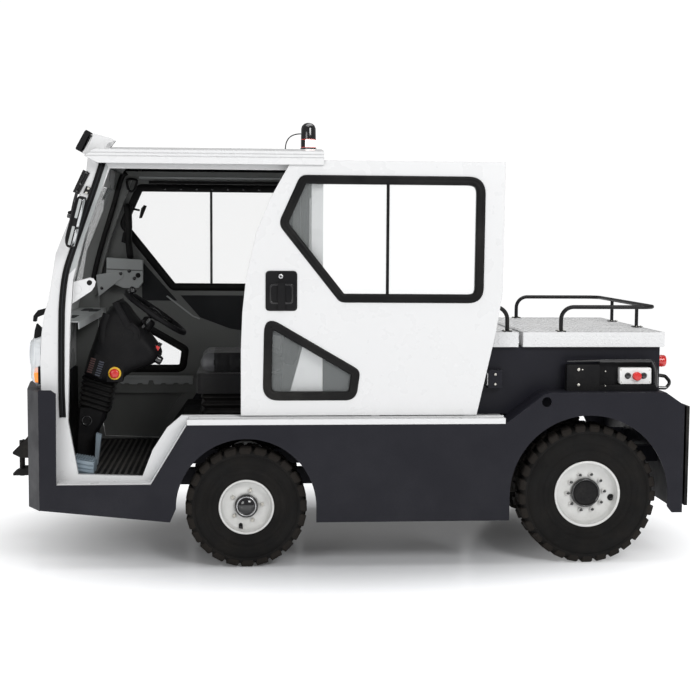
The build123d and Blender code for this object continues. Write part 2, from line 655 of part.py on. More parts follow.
# wheel name: axle x, wheel y, tread radius, half width, bead radius, flange radius, shaft radius,
# shaft end, lugs round each half, wheel bolts, bolt circle radius, hub cap radius
wheels = {
    "front": (front_x, front_wheel_y, front_tyre_r, front_tyre_half, front_bead_r, front_flange_r,
              front_shaft_r, stub_end_y, 19, 5, 76, 56),
    "rear": (rear_x, rear_wheel_y, rear_tyre_r, rear_tyre_half, rear_bead_r, rear_flange_r,
             rear_shaft_r, rear_stub_y, 23, 10, 91, 71),
}
for name, (x, y, tread_r, half, bead_r, flange_r, shaft_r, shaft_end, lugs, bolts, bolt_r,
           cap_r) in wheels.items():
    center = Vector(x, y, tread_r)
    plane = wheel_plane(x, y, tread_r)
    seat = half - sidewall
    halves = []
    for side in (1, -1):
        across = Plane(origin=center, x_dir=(side, 0, 0), z_dir=(0, side, 0))
        halves.append(half_tread(across, half, tread_r, lugs, -90 + (side - 1) * 90 / lugs))
    with BuildPart() as tyre:
        for body in halves:
            add(body)
        for low, high in ((-half, -seat), (seat, half)):
            rod((x, y + low, tread_r), (x, y + high, tread_r), flange_r + 5, mode=Mode.SUBTRACT)
        rod((x, y - half, tread_r), (x, y + half, tread_r), bead_r, mode=Mode.SUBTRACT)
    keep(tyre, f"tyre_{name}_left")
    mirrored(tyre, f"tyre_{name}_right")
    with BuildPart() as rim:
        inner = bead_r - 7
        disc_y = 26
        spin([(-seat - 6, inner), (-seat - 6, flange_r), (-seat, flange_r), (-seat, bead_r),
              (seat, bead_r), (seat, flange_r), (seat + 6, flange_r), (seat + 6, inner),
              (disc_y, inner - 16), (disc_y, cap_r), (disc_y + 24, cap_r), (disc_y + 24, 0),
              (shaft_end - y + running_gap, 0), (shaft_end - y + running_gap, shaft_r + running_gap),
              (disc_y - 12, shaft_r + running_gap), (disc_y - 12, inner)], plane)
        turn = Plane(origin=(x, y + disc_y, tread_r), x_dir=(1, 0, 0), z_dir=(0, 1, 0))
        with BuildSketch(turn) as nuts:
            with PolarLocations(bolt_r, bolts, start_angle=90):
                RegularPolygon(10, 6)
        extrude(nuts.sketch, amount=16)
        with BuildSketch(turn) as valve:
            with PolarLocations(bolt_r, 1, start_angle=90 + 180 / bolts):
                Circle(11)
        extrude(valve.sketch, amount=-14, mode=Mode.SUBTRACT)
    keep(rim, f"rim_{name}_left")
    mirrored(rim, f"rim_{name}_right")

# --- doors --------------------------------------------------------------------
# outlines of a closed door, counted from the front axle
door_outline = [(896, door_low), (896, 1045), (889, 1226), (871, 1390), (822, 1606), (750, 1777),
                (669, 1921), (655, door_high), (-364, door_high), (-359, 1321), (-329, 1133),
                (-240, door_low)]
upper_window = [(615, 1876), (720, 1644), (425, 1273), (-266, 1271), (-270, 1875)]
upper_corners = [48, 60, 50, 76, 86]
lower_window = [(793, 804), (785, 1216), (325, 948), (345, 804)]
lower_corners = [76, 52, 44, 60]
handle_x = 704
handle_z = 1328


def window(outline, corners, inset, x_shift, y_low, y_high, mode=Mode.ADD):
    """A window's rounded outline drawn in by an inset and extruded across the door."""
    points = [(front_x + x + x_shift, z) for x, z in outline]
    with BuildSketch(Plane.XZ.offset(-y_high)) as face:
        with BuildLine():
            FilletPolyline(*points, radius=corners, close=True)
        make_face()
        if inset:
            offset(amount=-inset, mode=Mode.REPLACE)
    extrude(face.sketch, amount=y_high - y_low, mode=mode)


windows = ((upper_window, upper_corners), (lower_window, lower_corners))
for side, sign, shift in (("left", 1, -door_travel), ("right", -1, 0)):
    about = Plane.XZ
    with BuildPart() as door:
        slab([(front_x + x + shift, z) for x, z in door_outline], door_in_y, door_out_y)
        for outline, corners in windows:
            window(outline, corners, seal_lap, shift, door_in_y, door_out_y, Mode.SUBTRACT)
        for x in (-225, 230):
            shoe_x = front_x + x + shift
            block(shoe_x, shoe_x + 40, door_in_y + 10, door_in_y + 20, ledge_z + 7 + running_gap, door_low)
        hanger_x = front_x + 600 + shift
        rod((hanger_x, guide_y, door_high), (hanger_x, guide_y, door_high + 24), 9)
        if sign < 0:
            mirror(about=about, mode=Mode.REPLACE)
    keep(door, f"door_{side}")
    with BuildPart() as panes:
        for outline, corners in windows:
            window(outline, corners, seal_lap, shift, glass_y, glass_y + glass_t)
        if sign < 0:
            mirror(about=about, mode=Mode.REPLACE)
    keep(panes, f"door_glass_{side}")
    with BuildPart() as trim:
        for outline, corners in windows:
            window(outline, corners, 0, shift, door_out_y, door_out_y + seal_t)
            window(outline, corners, seal_lap, shift, glass_y + glass_t, door_out_y)
            window(outline, corners, 0, shift, door_in_y - 4, door_in_y)
            window(outline, corners, seal_lap, shift, door_in_y, glass_y)
            window(outline, corners, seal_w, shift, door_in_y - 5, glass_y, Mode.SUBTRACT)
            window(outline, corners, seal_w, shift, glass_y + glass_t, door_out_y + 9, Mode.SUBTRACT)
        bar_x = front_x + 198 + shift
        block(bar_x - 7, bar_x + 7, glass_y + glass_t, glass_y + glass_t + 8, 1300, 1850)
        plate_x = front_x + handle_x + shift
        block(plate_x - 75, plate_x + 75, door_out_y, door_out_y + 4, handle_z - 95, handle_z + 95)
        block(plate_x - 58, plate_x + 58, door_out_y + 4, door_out_y + 14, handle_z - 65, handle_z + 31)
        if sign < 0:
            mirror(about=about, mode=Mode.REPLACE)
    keep(trim, f"door_trim_{side}")

# --- fittings -----------------------------------------------------------------
jaw_pin = coupling_reach - 39
jaw = [(20, 345), (65, 340), (coupling_reach, 340), (coupling_reach, 352), (jaw_pin - 3, 374), (45, 374),
       (45, 432), (jaw_pin - 3, 432), (coupling_reach, 453), (coupling_reach, 464), (81, 514), (52, 547),
       (20, 547)]
with BuildPart() as front_coupling:
    block(nose_x, nose_x + 20, -110, 110, 190, 547)
    slab([(nose_x + x, z) for x, z in jaw], -coupling_half, coupling_half)
    rod((nose_x + jaw_pin, 0, 330), (nose_x + jaw_pin, 0, 516), coupling_pin_r)
    rod((nose_x + jaw_pin, -48, 508), (nose_x + jaw_pin, 48, 508), 7)
keep(front_coupling, "front_coupling")

with BuildPart() as rear_coupling:
    block(rear_plate_x - 15, rear_plate_x, -100, 100, 290, 540)
    slab(rear([(-480, 310), (-rear_reach, 310), (-rear_reach, 322), (-545, 340), (-510, 340),
               (-510, 395), (-545, 395), (-rear_reach, 395), (-rear_reach, 415), (-510, 415),
               (-510, 465), (-rear_reach, 472), (-rear_reach, 485), (-480, 520)]),
         -coupling_half, coupling_half)
    rod((rear_x - 548, 0, 300), (rear_x - 548, 0, 522), coupling_pin_r)
    rod((rear_x - 548, -48, 514), (rear_x - 548, 48, 514), 7)
keep(rear_coupling, "rear_coupling")

lamp_y = 540
lamp_z = 986
lamp_x = front_x + cab_front
lamp_h = 256
lamp_w = 196
with BuildPart() as headlamps:
    for proud, reach, slope in ((0, 28, 0), (28, 20, 50)):
        with BuildSketch(Plane(origin=(lamp_x + proud, lamp_y, lamp_z), x_dir=(0, 0, 1),
                               z_dir=(1, 0, 0))) as oval:
            SlotOverall(lamp_h, lamp_w)
        extrude(oval.sketch, amount=reach, taper=slope)
    rod((lamp_x + 48, lamp_y, lamp_z + 34), (lamp_x + 56, lamp_y, lamp_z + 34), 62)
    rod((lamp_x + 48, lamp_y, lamp_z - 62), (lamp_x + 56, lamp_y, lamp_z - 62), 28)
    mirror(about=Plane.XZ)
keep(headlamps, "headlamps")

light_low = Vector(front_x + 797, 0, 1985)
light_up = Vector(-51, 0, 94).normalized()
light_out = Vector(light_up.Z, 0, -light_up.X)
with BuildPart() as work_lights:
    slab(front([(746, 2079), (724, 2068), (772, 1972), (797, 1985)]), 545, 655)
    with BuildSketch(Plane(origin=light_low + light_up * 53.5 + Vector(0, 600, 0), x_dir=(0, 1, 0),
                           z_dir=light_out)) as lens:
        RectangleRounded(94, 86, 8)
    extrude(lens.sketch, amount=-4, mode=Mode.SUBTRACT)
    mirror(about=Plane.XZ)
keep(work_lights, "work_lights")

head_plane = Plane(origin=(front_x + 768, 775, 1643), x_dir=(0, 1, 0), z_dir=(0.968, 0, 0.251))
with BuildPart() as mirrors:
    slab(front([(761, 1890), (728, 1874), (770, 1778), (810, 1792)]), cab_y, cab_y + 8)
    rod((front_x + 792, cab_y + 2, 1795), (front_x + 812, 720, 1650), 8)
    with BuildSketch(head_plane) as head:
        RectangleRounded(150, 242, 30)
    extrude(head.sketch, amount=20)
    with BuildSketch(head_plane.offset(20)) as back:
        RectangleRounded(150, 242, 30)
    extrude(back.sketch, amount=22, taper=35)
    mirror(about=Plane.XZ)
keep(mirrors, "mirrors")

with BuildPart() as beacon:
    rod((beacon_x, 0, roof_crown), (beacon_x, 0, roof_crown + 18), beacon_r + 6)
    with BuildSketch(Plane(origin=(beacon_x, 0, roof_crown), x_dir=(1, 0, 0), z_dir=(0, -1, 0))) as cap:
        with BuildLine():
            Polyline((0, 17), (beacon_r, 17), (beacon_r, beacon_h - 26), (beacon_r - 7, beacon_h - 8),
                     (beacon_r - 18, beacon_h), (0, beacon_h), close=True)
        make_face()
    revolve(cap.sketch, axis=Axis((beacon_x, 0, 0), (0, 0, 1)))
keep(beacon, "beacon")

with BuildPart() as beacon_cable:
    tube_path([(gland_x, 0, roof_crown + 8), (gland_x, 0, roof_crown + 90),
               (beacon_x + beacon_r + running_gap, 0, roof_crown + 90)], 60, 3, sides=8)
keep(beacon_cable, "beacon_cable")

with BuildPart() as control_bracket:
    slab(rear([(100, fender_z), (100, 985), (-312, 988), (-354, 935), (-354, fender_z)]), 606, 650)
    slab(rear([(-85, 862), (-85, 972), (-314, 972), (-340, 937), (-340, 862)]), 612, 650,
         mode=Mode.SUBTRACT)
keep(control_bracket, "control_bracket")
with BuildPart() as control_box:
    block(rear_x - 323, rear_x - 160, 612, 646, 874, 956)
    rod((rear_x - 251, 646, 914), (rear_x - 251, 668, 914), 22)
    for x in (-206, -282):
        rod((rear_x + x, 646, 914), (rear_x + x, 656, 914), 16)
keep(control_box, "control_box")

with BuildPart() as rear_lamps:
    for y in (-500, 500):
        for i in range(6):
            ring_x = box_rear_x - i * 52 / 6
            with BuildSketch(Plane(origin=(ring_x, y, 975), x_dir=(0, 1, 0), z_dir=(-1, 0, 0))) as ring:
                RegularPolygon(27 if i % 2 else 31, 16)
            extrude(ring.sketch, amount=52 / 6)
keep(rear_lamps, "rear_lamps")
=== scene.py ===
"""Airport baggage tug: tyres, rubber, lamps, seat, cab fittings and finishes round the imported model.

Everything is in metres in the model's own frame: X forward, Y to the left, Z up.
"""
import math

import bmesh
import bpy
from mathutils import Matrix, Vector


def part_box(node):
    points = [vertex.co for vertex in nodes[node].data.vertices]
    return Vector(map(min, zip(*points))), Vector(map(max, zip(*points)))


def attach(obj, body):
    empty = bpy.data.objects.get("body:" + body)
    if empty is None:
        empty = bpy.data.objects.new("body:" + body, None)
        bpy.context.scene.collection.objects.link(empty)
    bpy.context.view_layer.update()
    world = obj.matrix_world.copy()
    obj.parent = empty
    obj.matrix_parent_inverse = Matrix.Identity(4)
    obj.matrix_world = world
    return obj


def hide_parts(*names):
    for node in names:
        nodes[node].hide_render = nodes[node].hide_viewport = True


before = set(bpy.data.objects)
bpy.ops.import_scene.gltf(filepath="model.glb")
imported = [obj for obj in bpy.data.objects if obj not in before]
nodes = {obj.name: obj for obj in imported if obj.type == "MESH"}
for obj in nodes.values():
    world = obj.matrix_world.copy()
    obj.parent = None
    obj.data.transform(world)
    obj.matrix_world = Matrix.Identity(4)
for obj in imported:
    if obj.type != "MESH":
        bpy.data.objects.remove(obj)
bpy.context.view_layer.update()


def middle(node):
    low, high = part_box(node)
    return (low + high) / 2


# --- places -------------------------------------------------------------------
MM = 0.001
SIDES = (("left", 1), ("right", -1))
LEFT = (0, 1, 0)
UP = (0, 0, 1)
front_axle = middle("tyre_front_left").x
rear_axle = middle("tyre_rear_left").x
front_r = middle("tyre_front_left").z
rear_r = middle("tyre_rear_left").z
driver_y = middle("seat_cushion").y
rail_foot = 0.012               # how high a deck rail's foot stands over its cover
deck_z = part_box("front_deck")[1].z - rail_foot
skirt_z = 1.053                 # lower edge of the deck covers
cab_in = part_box("cab_glass")[1].y
cab_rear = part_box("rear_wall")[0].x
door_travel = 870               # mm from the shut door to the open one


def from_front(x, z, y=0.0):
    """A point counted in millimetres from the front axle, as a place in the model."""
    return Vector((front_axle + x * MM, y * MM, z * MM))


def from_rear(x, z, y=0.0):
    """A point counted in millimetres from the rear axle, as a place in the model."""
    return Vector((rear_axle + x * MM, y * MM, z * MM))


# --- camera and studio --------------------------------------------------------
scene = bpy.context.scene
yaw, pitch, roll = (math.radians(a) for a in (4.494, 4.857, 0.35))
camera_at = Vector((front_axle + 0.0058, 7.0492, 1.5888))
look = Vector((-math.sin(yaw) * math.cos(pitch), -math.cos(yaw) * math.cos(pitch), -math.sin(pitch)))
level = Vector((-math.cos(yaw), math.sin(yaw), 0))
upright = level.cross(look)
side = level * math.cos(roll) + upright * math.sin(roll)
rise = upright * math.cos(roll) - level * math.sin(roll)
lens = bpy.data.cameras.new("studio_camera")
lens.lens = 68.9
lens.sensor_width = 36
camera = bpy.data.objects.new("studio_camera", lens)
camera.matrix_world = Matrix((
    (side.x, rise.x, -look.x, camera_at.x),
    (side.y, rise.y, -look.y, camera_at.y),
    (side.z, rise.z, -look.z, camera_at.z),
    (0, 0, 0, 1),
))
scene.collection.objects.link(camera)
scene.camera = camera

# --- beacon's cable -----------------------------------------------------------
cable_low, cable_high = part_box("beacon_cable")
cable_r = 0.003
gland = Vector((cable_high.x - cable_r, 0, cable_low.z))
cable_top = cable_high.z - cable_r
cable_route = [gland, Vector((gland.x, 0, cable_top)), Vector((cable_low.x, 0, cable_top))]
cable_line = bpy.data.curves.new("beacon_lead", "CURVE")
cable_line.dimensions = "3D"
run = cable_line.splines.new("NURBS")
run.points.add(len(cable_route) - 1)
for point, place in zip(run.points, cable_route):
    point.co = (*place, 1)
run.order_u = 3
run.use_endpoint_u = True
run.resolution_u = 24
cable_line.bevel_depth = cable_r
cable_line.bevel_resolution = 4
cable = bpy.data.objects.new("beacon_lead", cable_line)
scene.collection.objects.link(cable)
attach(cable, "body")
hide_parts("beacon_cable")

# --- lights -------------------------------------------------------------------
daylight, backdrop = 0.30, 1.06     # the studio's air as a light, and as it is seen
world = bpy.data.worlds.new("studio_air")
scene.world = world
world.use_nodes = True
air = world.node_tree
sky = air.nodes["Background"]
sky.inputs["Color"].default_value = (1.0, 1.0, 1.0, 1)
seen = air.nodes.new("ShaderNodeLightPath")
glow = air.nodes.new("ShaderNodeMapRange")
glow.inputs["To Min"].default_value = daylight
glow.inputs["To Max"].default_value = backdrop
air.links.new(seen.outputs["Is Camera Ray"], glow.inputs["Value"])
air.links.new(glow.outputs[0], sky.inputs["Strength"])
scene.view_settings.view_transform = "Standard"


def soft_light(name, place, aim, width, height, power):
    """A soft rectangular light that faces a point."""
    data = bpy.data.lights.new(name, "AREA")
    data.shape = "RECTANGLE"
    data.size = width
    data.size_y = height
    data.energy = power
    light = bpy.data.objects.new(name, data)
    light.location = place
    light.rotation_euler = (Vector(aim) - Vector(place)).to_track_quat("-Z", "Y").to_euler()
    scene.collection.objects.link(light)


soft_light("key_box", (-2.6, 5.6, 4.2), (0, 0, 0.9), 2.6, 2.0, 185)
soft_light("fill_box", (3.6, 5.4, 2.6), (0.3, 0, 0.9), 2.4, 2.4, 75)
soft_light("top_box", (-0.2, 0.2, 5.4), (0, 0, 0.8), 5.0, 3.0, 150)


# --- shader groups ------------------------------------------------------------
def shader_group(name, inputs, outputs):
    """A shader node group with named sockets: (name, kind, value) going in, (name, kind) going out."""
    group = bpy.data.node_groups.new(name, "ShaderNodeTree")
    for label, kind, value in inputs:
        socket = group.interface.new_socket(label, in_out="INPUT", socket_type="NodeSocket" + kind)
        if value is not None:
            socket.default_value = value
    for label, kind in outputs:
        group.interface.new_socket(label, in_out="OUTPUT", socket_type="NodeSocket" + kind)
    return group, group.nodes.new("NodeGroupInput"), group.nodes.new("NodeGroupOutput")


def add(tree, kind, put=None, **settings):
    """A node with its plain settings and, by socket name or number, its input values and links."""
    node = tree.nodes.new(kind)
    for key, value in settings.items():
        setattr(node, key, value)
    for key, value in (put or {}).items():
        if isinstance(value, bpy.types.NodeSocket):
            tree.links.new(value, node.inputs[key])
        else:
            node.inputs[key].default_value = value
    return node


def wire(tree, start, node, key):
    tree.links.new(start, node.inputs[key])


def reckon(tree, operation, first, second, **settings):
    """The outcome of a sum on two values or links."""
    return add(tree, "ShaderNodeMath", operation=operation, put={0: first, 1: second}, **settings).outputs[0]


def stretch(tree, value, low=0.0, high=1.0, to_low=0.0, to_high=1.0):
    """A value's range stretched to another one and cut off at its ends."""
    return add(tree, "ShaderNodeMapRange", put={"Value": value, "From Min": low, "From Max": high,
                                                "To Min": to_low, "To Max": to_high}).outputs[0]


def blend(tree, share, first, second):
    """Two colours mixed by a share."""
    return add(tree, "ShaderNodeMix", data_type="RGBA", put={0: share, 6: first, 7: second}).outputs[2]


def own_place(tree):
    """Places as the piece itself counts them."""
    return add(tree, "ShaderNodeTexCoord").outputs["Object"]


def clouds(tree, scale, detail, **more):
    """Soft noise fixed to the piece."""
    return add(tree, "ShaderNodeTexNoise",
               put={"Vector": own_place(tree), "Scale": scale, "Detail": detail, **more}).outputs["Fac"]


def emboss(tree, height, depth, normal=None):
    """The normal of a surface that a height raises by a depth."""
    bump = add(tree, "ShaderNodeBump", put={"Height": height, "Strength": 1.0, "Distance": depth})
    if normal:
        wire(tree, normal, bump, "Normal")
    return bump.outputs[0]


def make_grime():
    """Dust that lies in soft patches and thickens towards the ground."""
    tree, enter, leave = shader_group(
        "grime",
        [("Clean", "Color", (1, 1, 1, 1)), ("Dust", "Color", (0.3, 0.28, 0.25, 1)),
         ("Amount", "Float", 0.2), ("Scale", "Float", 3.0), ("Top", "Float", 1.0)],
        [("Color", "Color"), ("Mask", "Float")])
    given = enter.outputs
    patches = stretch(tree, clouds(tree, given["Scale"], 6.0, Roughness=0.62), 0.42, 0.72)
    grains = reckon(tree, "MULTIPLY", patches, clouds(tree, 140.0, 3.0))
    split = add(tree, "ShaderNodeSeparateXYZ", put={0: own_place(tree)})
    near_ground = reckon(tree, "ADD", stretch(tree, split.outputs["Z"], given["Top"], 0.1), 0.35)
    mask = reckon(tree, "MULTIPLY", reckon(tree, "MULTIPLY", grains, near_ground), given["Amount"],
                  use_clamp=True)
    wire(tree, blend(tree, mask, given["Clean"], given["Dust"]), leave, "Color")
    wire(tree, mask, leave, "Mask")
    return tree


def make_rounding():
    """Softened edges, and a mask of where they are."""
    tree, enter, leave = shader_group("rounding", [("Radius", "Float", 0.003)],
                                      [("Normal", "Vector"), ("Edge", "Float")])
    soft = add(tree, "ShaderNodeBevel", samples=6, put={"Radius": enter.outputs["Radius"]})
    hard = add(tree, "ShaderNodeNewGeometry")
    dot = add(tree, "ShaderNodeVectorMath", operation="DOT_PRODUCT",
              put={0: soft.outputs[0], 1: hard.outputs["Normal"]})
    wire(tree, soft.outputs[0], leave, "Normal")
    wire(tree, stretch(tree, dot.outputs["Value"], 0.995, 0.8), leave, "Edge")
    return tree


def make_grain():
    """The height of fine leather-like or moulded grain."""
    tree, enter, leave = shader_group("grain", [("Scale", "Float", 900.0), ("Fine", "Float", 0.5)],
                                      [("Height", "Float")])
    scale, fine = enter.outputs["Scale"], enter.outputs["Fine"]
    cells = add(tree, "ShaderNodeTexVoronoi", put={"Vector": own_place(tree), "Scale": scale})
    mix = add(tree, "ShaderNodeMix", data_type="FLOAT",
              put={0: fine, 2: cells.outputs["Distance"], 3: clouds(tree, scale, 4.0)})
    wire(tree, mix.outputs[0], leave, "Height")
    return tree


grime, rounding, grain = make_grime(), make_rounding(), make_grain()


def use(tree, group, **values):
    node = tree.nodes.new("ShaderNodeGroup")
    node.node_tree = group
    for key, value in values.items():
        node.inputs[key].default_value = value
    return node


def new_material(name, **sockets):
    """A material, its node tree and its shader, with the shader's plain values set."""
    material = bpy.data.materials.new(name)
    material.use_nodes = True
    shader = material.node_tree.nodes["Principled BSDF"]
    for key, value in sockets.items():
        shader.inputs[key.replace("_", " ")].default_value = value
    return material, material.node_tree, shader


def finish(name, color, rough, metallic=0.0, dust=0.0, dust_color=(0.30, 0.28, 0.25), dust_top=1.0,
           patch=3.0, worn=(0.35, 0.35, 0.35), wear=0.0, radius=0.0, grain_scale=0.0, grain_depth=0.0,
           fine=0.5, coat=0.0, peel=0.0, spread=0.08, emission=0.0, sheen=0.0, spec=0.5):
    """An opaque finish: its colour under dust, worn edges, and the grain or peel of its surface."""
    material, tree, shader = new_material(name, Metallic=metallic, Coat_Weight=coat, Coat_Roughness=0.08,
                                          Sheen_Weight=sheen, Specular_IOR_Level=spec)
    color = (*color, 1)
    dirt = use(tree, grime, Clean=color, Dust=(*dust_color, 1), Amount=dust, Scale=patch, Top=dust_top)
    tone = dirt.outputs["Color"]
    normal = None
    if radius:
        edges = use(tree, rounding, Radius=radius)
        normal = edges.outputs["Normal"]
        if wear:
            chips = stretch(tree, clouds(tree, 60.0, 5.0), 0.5, 0.62, 0.0, wear)
            rub = reckon(tree, "MULTIPLY", edges.outputs["Edge"], chips)
            tone = blend(tree, rub, tone, (*worn, 1))
    wire(tree, tone, shader, "Base Color")
    gloss_span = stretch(tree, clouds(tree, 11.0, 5.0), 0.3, 0.7, rough - spread, rough + spread)
    wire(tree, reckon(tree, "ADD", gloss_span, dirt.outputs["Mask"], use_clamp=True), shader, "Roughness")
    if grain_depth:
        texture = use(tree, grain, Scale=grain_scale, Fine=fine)
        normal = emboss(tree, texture.outputs["Height"], grain_depth, normal)
    if peel:
        normal = emboss(tree, clouds(tree, 220.0, 1.5), peel, normal)
    if normal:
        wire(tree, normal, shader, "Normal")
    if emission:
        shader.inputs["Emission Color"].default_value = color
        shader.inputs["Emission Strength"].default_value = emission
    return material


def clear(name, color, faint, strong):
    """A clear pane or lens: faint seen straight on, stronger seen along its face."""
    material, tree, shader = new_material(name, Base_Color=(*color, 1), Coat_Weight=0.6, Coat_Roughness=0.02)
    wire(tree, stretch(tree, clouds(tree, 5.0, 6.0), to_low=0.02, to_high=0.08), shader, "Roughness")
    facing = add(tree, "ShaderNodeLayerWeight", put={"Blend": 0.35}).outputs["Facing"]
    wire(tree, stretch(tree, facing, to_low=faint, to_high=strong), shader, "Alpha")
    return material


m = {
    "white": finish("white_enamel", (0.66, 0.662, 0.665), 0.30, dust=0.04, dust_color=(0.55, 0.55, 0.54),
                    radius=0.004, wear=0.3, worn=(0.6, 0.6, 0.6), coat=0.35, peel=0.00012),
    # inner: the cab's white enamel darkened to grey, painted shade for faces turned into the cab
    "inner": finish("inner_grey_enamel", (0.15, 0.155, 0.15), 0.42, dust=0.3, radius=0.003, wear=0.3,
                    worn=(0.5, 0.5, 0.5), peel=0.0001, spec=0.3),
    # liner: near black, the roof's dark lining, and painted shade in gaps, holes and recesses
    "liner": finish("roof_lining", (0.02, 0.021, 0.023), 0.7, grain_scale=700, grain_depth=0.0004, spec=0.2),
    "dark": finish("anthracite_enamel", (0.0105, 0.0105, 0.0150), 0.36, dust=0.15,
                   dust_color=(0.10, 0.10, 0.11), dust_top=0.8, radius=0.003, wear=0.4,
                   worn=(0.12, 0.12, 0.13), peel=0.00015, spec=0.16),
    "black": finish("black_powder_coat", (0.005, 0.005, 0.006), 0.38, dust=0.2, radius=0.0015, wear=0.5,
                    worn=(0.16, 0.16, 0.16), grain_scale=1500, grain_depth=0.00008, spec=0.2),
    "chassis": finish("chassis_black", (0.006, 0.006, 0.007), 0.55, dust=0.6, radius=0.002, wear=0.5,
                      dust_color=(0.06, 0.055, 0.05), spec=0.1),
    "cast": finish("rough_casting", (0.014, 0.014, 0.015), 0.62, dust=0.8, radius=0.002,
                   dust_color=(0.09, 0.08, 0.07), grain_scale=420, grain_depth=0.0006, fine=0.8, spec=0.12),
    "steel": finish("bright_steel", (0.55, 0.55, 0.56), 0.28, metallic=1.0, dust=0.5, radius=0.001),
    "zinc": finish("zinc_plated_steel", (0.62, 0.60, 0.55), 0.36, metallic=1.0, dust=0.6),
    "tyre": finish("tyre_rubber", (0.0075, 0.0072, 0.0070), 0.68, dust=0.55,
                   dust_color=(0.030, 0.027, 0.024), patch=9.0, grain_scale=500, grain_depth=0.0003, fine=0.8,
                   spread=0.12, spec=0.1),
    "tread": finish("tread_rubber", (0.0135, 0.0115, 0.0100), 0.72, dust=0.5,
                    dust_color=(0.035, 0.030, 0.025), patch=12.0, grain_scale=420,
                    grain_depth=0.0004, fine=0.8, spread=0.12, spec=0.12),
    "rubber": finish("seal_rubber", (0.0028, 0.0028, 0.0032), 0.46, dust=0.2, radius=0.003, grain_scale=900,
                     grain_depth=0.00006, fine=0.8, spec=0.14),
    "mat": finish("floor_mat", (0.006, 0.006, 0.0065), 0.6, dust=0.5, dust_color=(0.10, 0.095, 0.09),
                  grain_scale=600, grain_depth=0.0003, spec=0.1),
    "rim": finish("wheel_enamel", (0.62, 0.62, 0.605), 0.38, dust=0.4, dust_color=(0.30, 0.28, 0.26),
                  dust_top=0.7, patch=14, radius=0.003, wear=0.8, worn=(0.32, 0.29, 0.26), coat=0.15),
    "plastic": finish("grained_moulding", (0.0045, 0.0045, 0.0055), 0.52, dust=0.15, radius=0.003,
                      grain_scale=1300, grain_depth=0.00022, spec=0.12),
    "gloss": finish("gloss_moulding", (0.005, 0.005, 0.006), 0.14, dust=0.1, radius=0.002, coat=0.5),
    "vinyl": finish("seat_vinyl", (0.004, 0.004, 0.005), 0.48, dust=0.1, grain_scale=620,
                    grain_depth=0.0007, fine=0.35, sheen=0.15, spec=0.14),
    # vinyl_light: lighter grey vinyl, painted highlight on the seat cushion's front band
    "vinyl_light": finish("seat_band", (0.055, 0.056, 0.06), 0.52, grain_scale=620, grain_depth=0.0006,
                          fine=0.35, sheen=0.15, dust=0.1),
    "switch_white": finish("switch_box_moulding", (0.78, 0.78, 0.77), 0.4, dust=0.5, radius=0.003,
                           grain_scale=1500, grain_depth=0.00008),
    "red": finish("red_button", (0.62, 0.018, 0.015), 0.28, radius=0.002, coat=0.4),
    "yellow": finish("yellow_collar", (0.85, 0.52, 0.02), 0.35, radius=0.001),
    "blue_grey": finish("pedal_rubber", (0.22, 0.28, 0.33), 0.6, dust=1.0, radius=0.002),
    "mirror": finish("mirror_glass", (0.86, 0.88, 0.9), 0.03, metallic=1.0, spread=0.01),
    "dial": finish("dial_face", (0.09, 0.11, 0.12), 0.15, coat=0.6),
    # inner_pale: white enamel dimmed to pale grey, painted half shade on white parts inside the cab and
    # painted highlight on the mirror heads
    "inner_pale": finish("inner_pale_enamel", (0.36, 0.375, 0.375), 0.4, dust=0.3, radius=0.003, peel=0.0001),
    "mat_rib": finish("floor_mat_rib", (0.05, 0.048, 0.045), 0.6, dust=0.8, dust_color=(0.12, 0.11, 0.10),
                      grain_scale=600, grain_depth=0.0002, spec=0.25),
    # step_grey: blue grey, painted shade on the slanted faces of the step frames
    "step_grey": finish("step_grey_enamel", (0.30, 0.34, 0.37), 0.4, dust=0.5, radius=0.002),
    "fuse_red": finish("fuse_red", (0.05, 0.018, 0.016), 0.4, radius=0.0008),
    "fuse_blue": finish("fuse_blue", (0.035, 0.04, 0.058), 0.4, radius=0.0008),
    "pane": clear("cab_glass_clear", (0.70, 0.74, 0.74), 0.10, 0.62),
    "lens": clear("lamp_lens_clear", (0.80, 0.84, 0.87), 0.38, 0.95),
}


def lens_finish(name, color, glow):
    """A moulded lamp lens: fine ribs under a clear skin."""
    material = finish(name, color, 0.12, coat=0.8, emission=glow, spread=0.03)
    tree = material.node_tree
    ribs = add(tree, "ShaderNodeTexVoronoi", put={"Vector": own_place(tree), "Scale": 170.0})
    wire(tree, emboss(tree, ribs.outputs["Distance"], 0.001), tree.nodes["Principled BSDF"], "Normal")
    return material


m["red_lens"] = lens_finish("red_lens", (0.55, 0.012, 0.010), 0.15)
m["amber_lens"] = lens_finish("amber_lens", (0.90, 0.26, 0.02), 0.25)
m["white_lens"] = lens_finish("white_lens", (0.80, 0.82, 0.85), 0.1)
m["beacon_glow"] = lens_finish("beacon_glow", (1.0, 0.93, 0.90), 2.2)
cable.data.materials.append(m["rubber"])


def make_floor_finish():
    """A pale floor whose far reaches glow into the white of the studio."""
    material = finish("studio_floor", (0.80, 0.81, 0.83), 0.20, spread=0.03, spec=0.35)
    tree = material.node_tree
    shader = tree.nodes["Principled BSDF"]
    flat = add(tree, "ShaderNodeVectorMath", operation="MULTIPLY",
               put={0: own_place(tree), 1: (0.62, 0.85, 0.0)})
    reach = add(tree, "ShaderNodeVectorMath", operation="LENGTH", put={0: flat.outputs[0]})
    far = add(tree, "ShaderNodeMapRange", interpolation_type="SMOOTHSTEP",
              put={"Value": reach.outputs["Value"], "From Min": 0.55, "From Max": 1.45, "To Min": 0.04,
                   "To Max": 0.74}).outputs[0]
    shine = add(tree, "ShaderNodeCombineColor", put={0: far, 1: far, 2: far})
    wire(tree, shine.outputs[0], shader, "Emission Color")
    shader.inputs["Emission Strength"].default_value = 1.0
    return material


floor_finish = make_floor_finish()


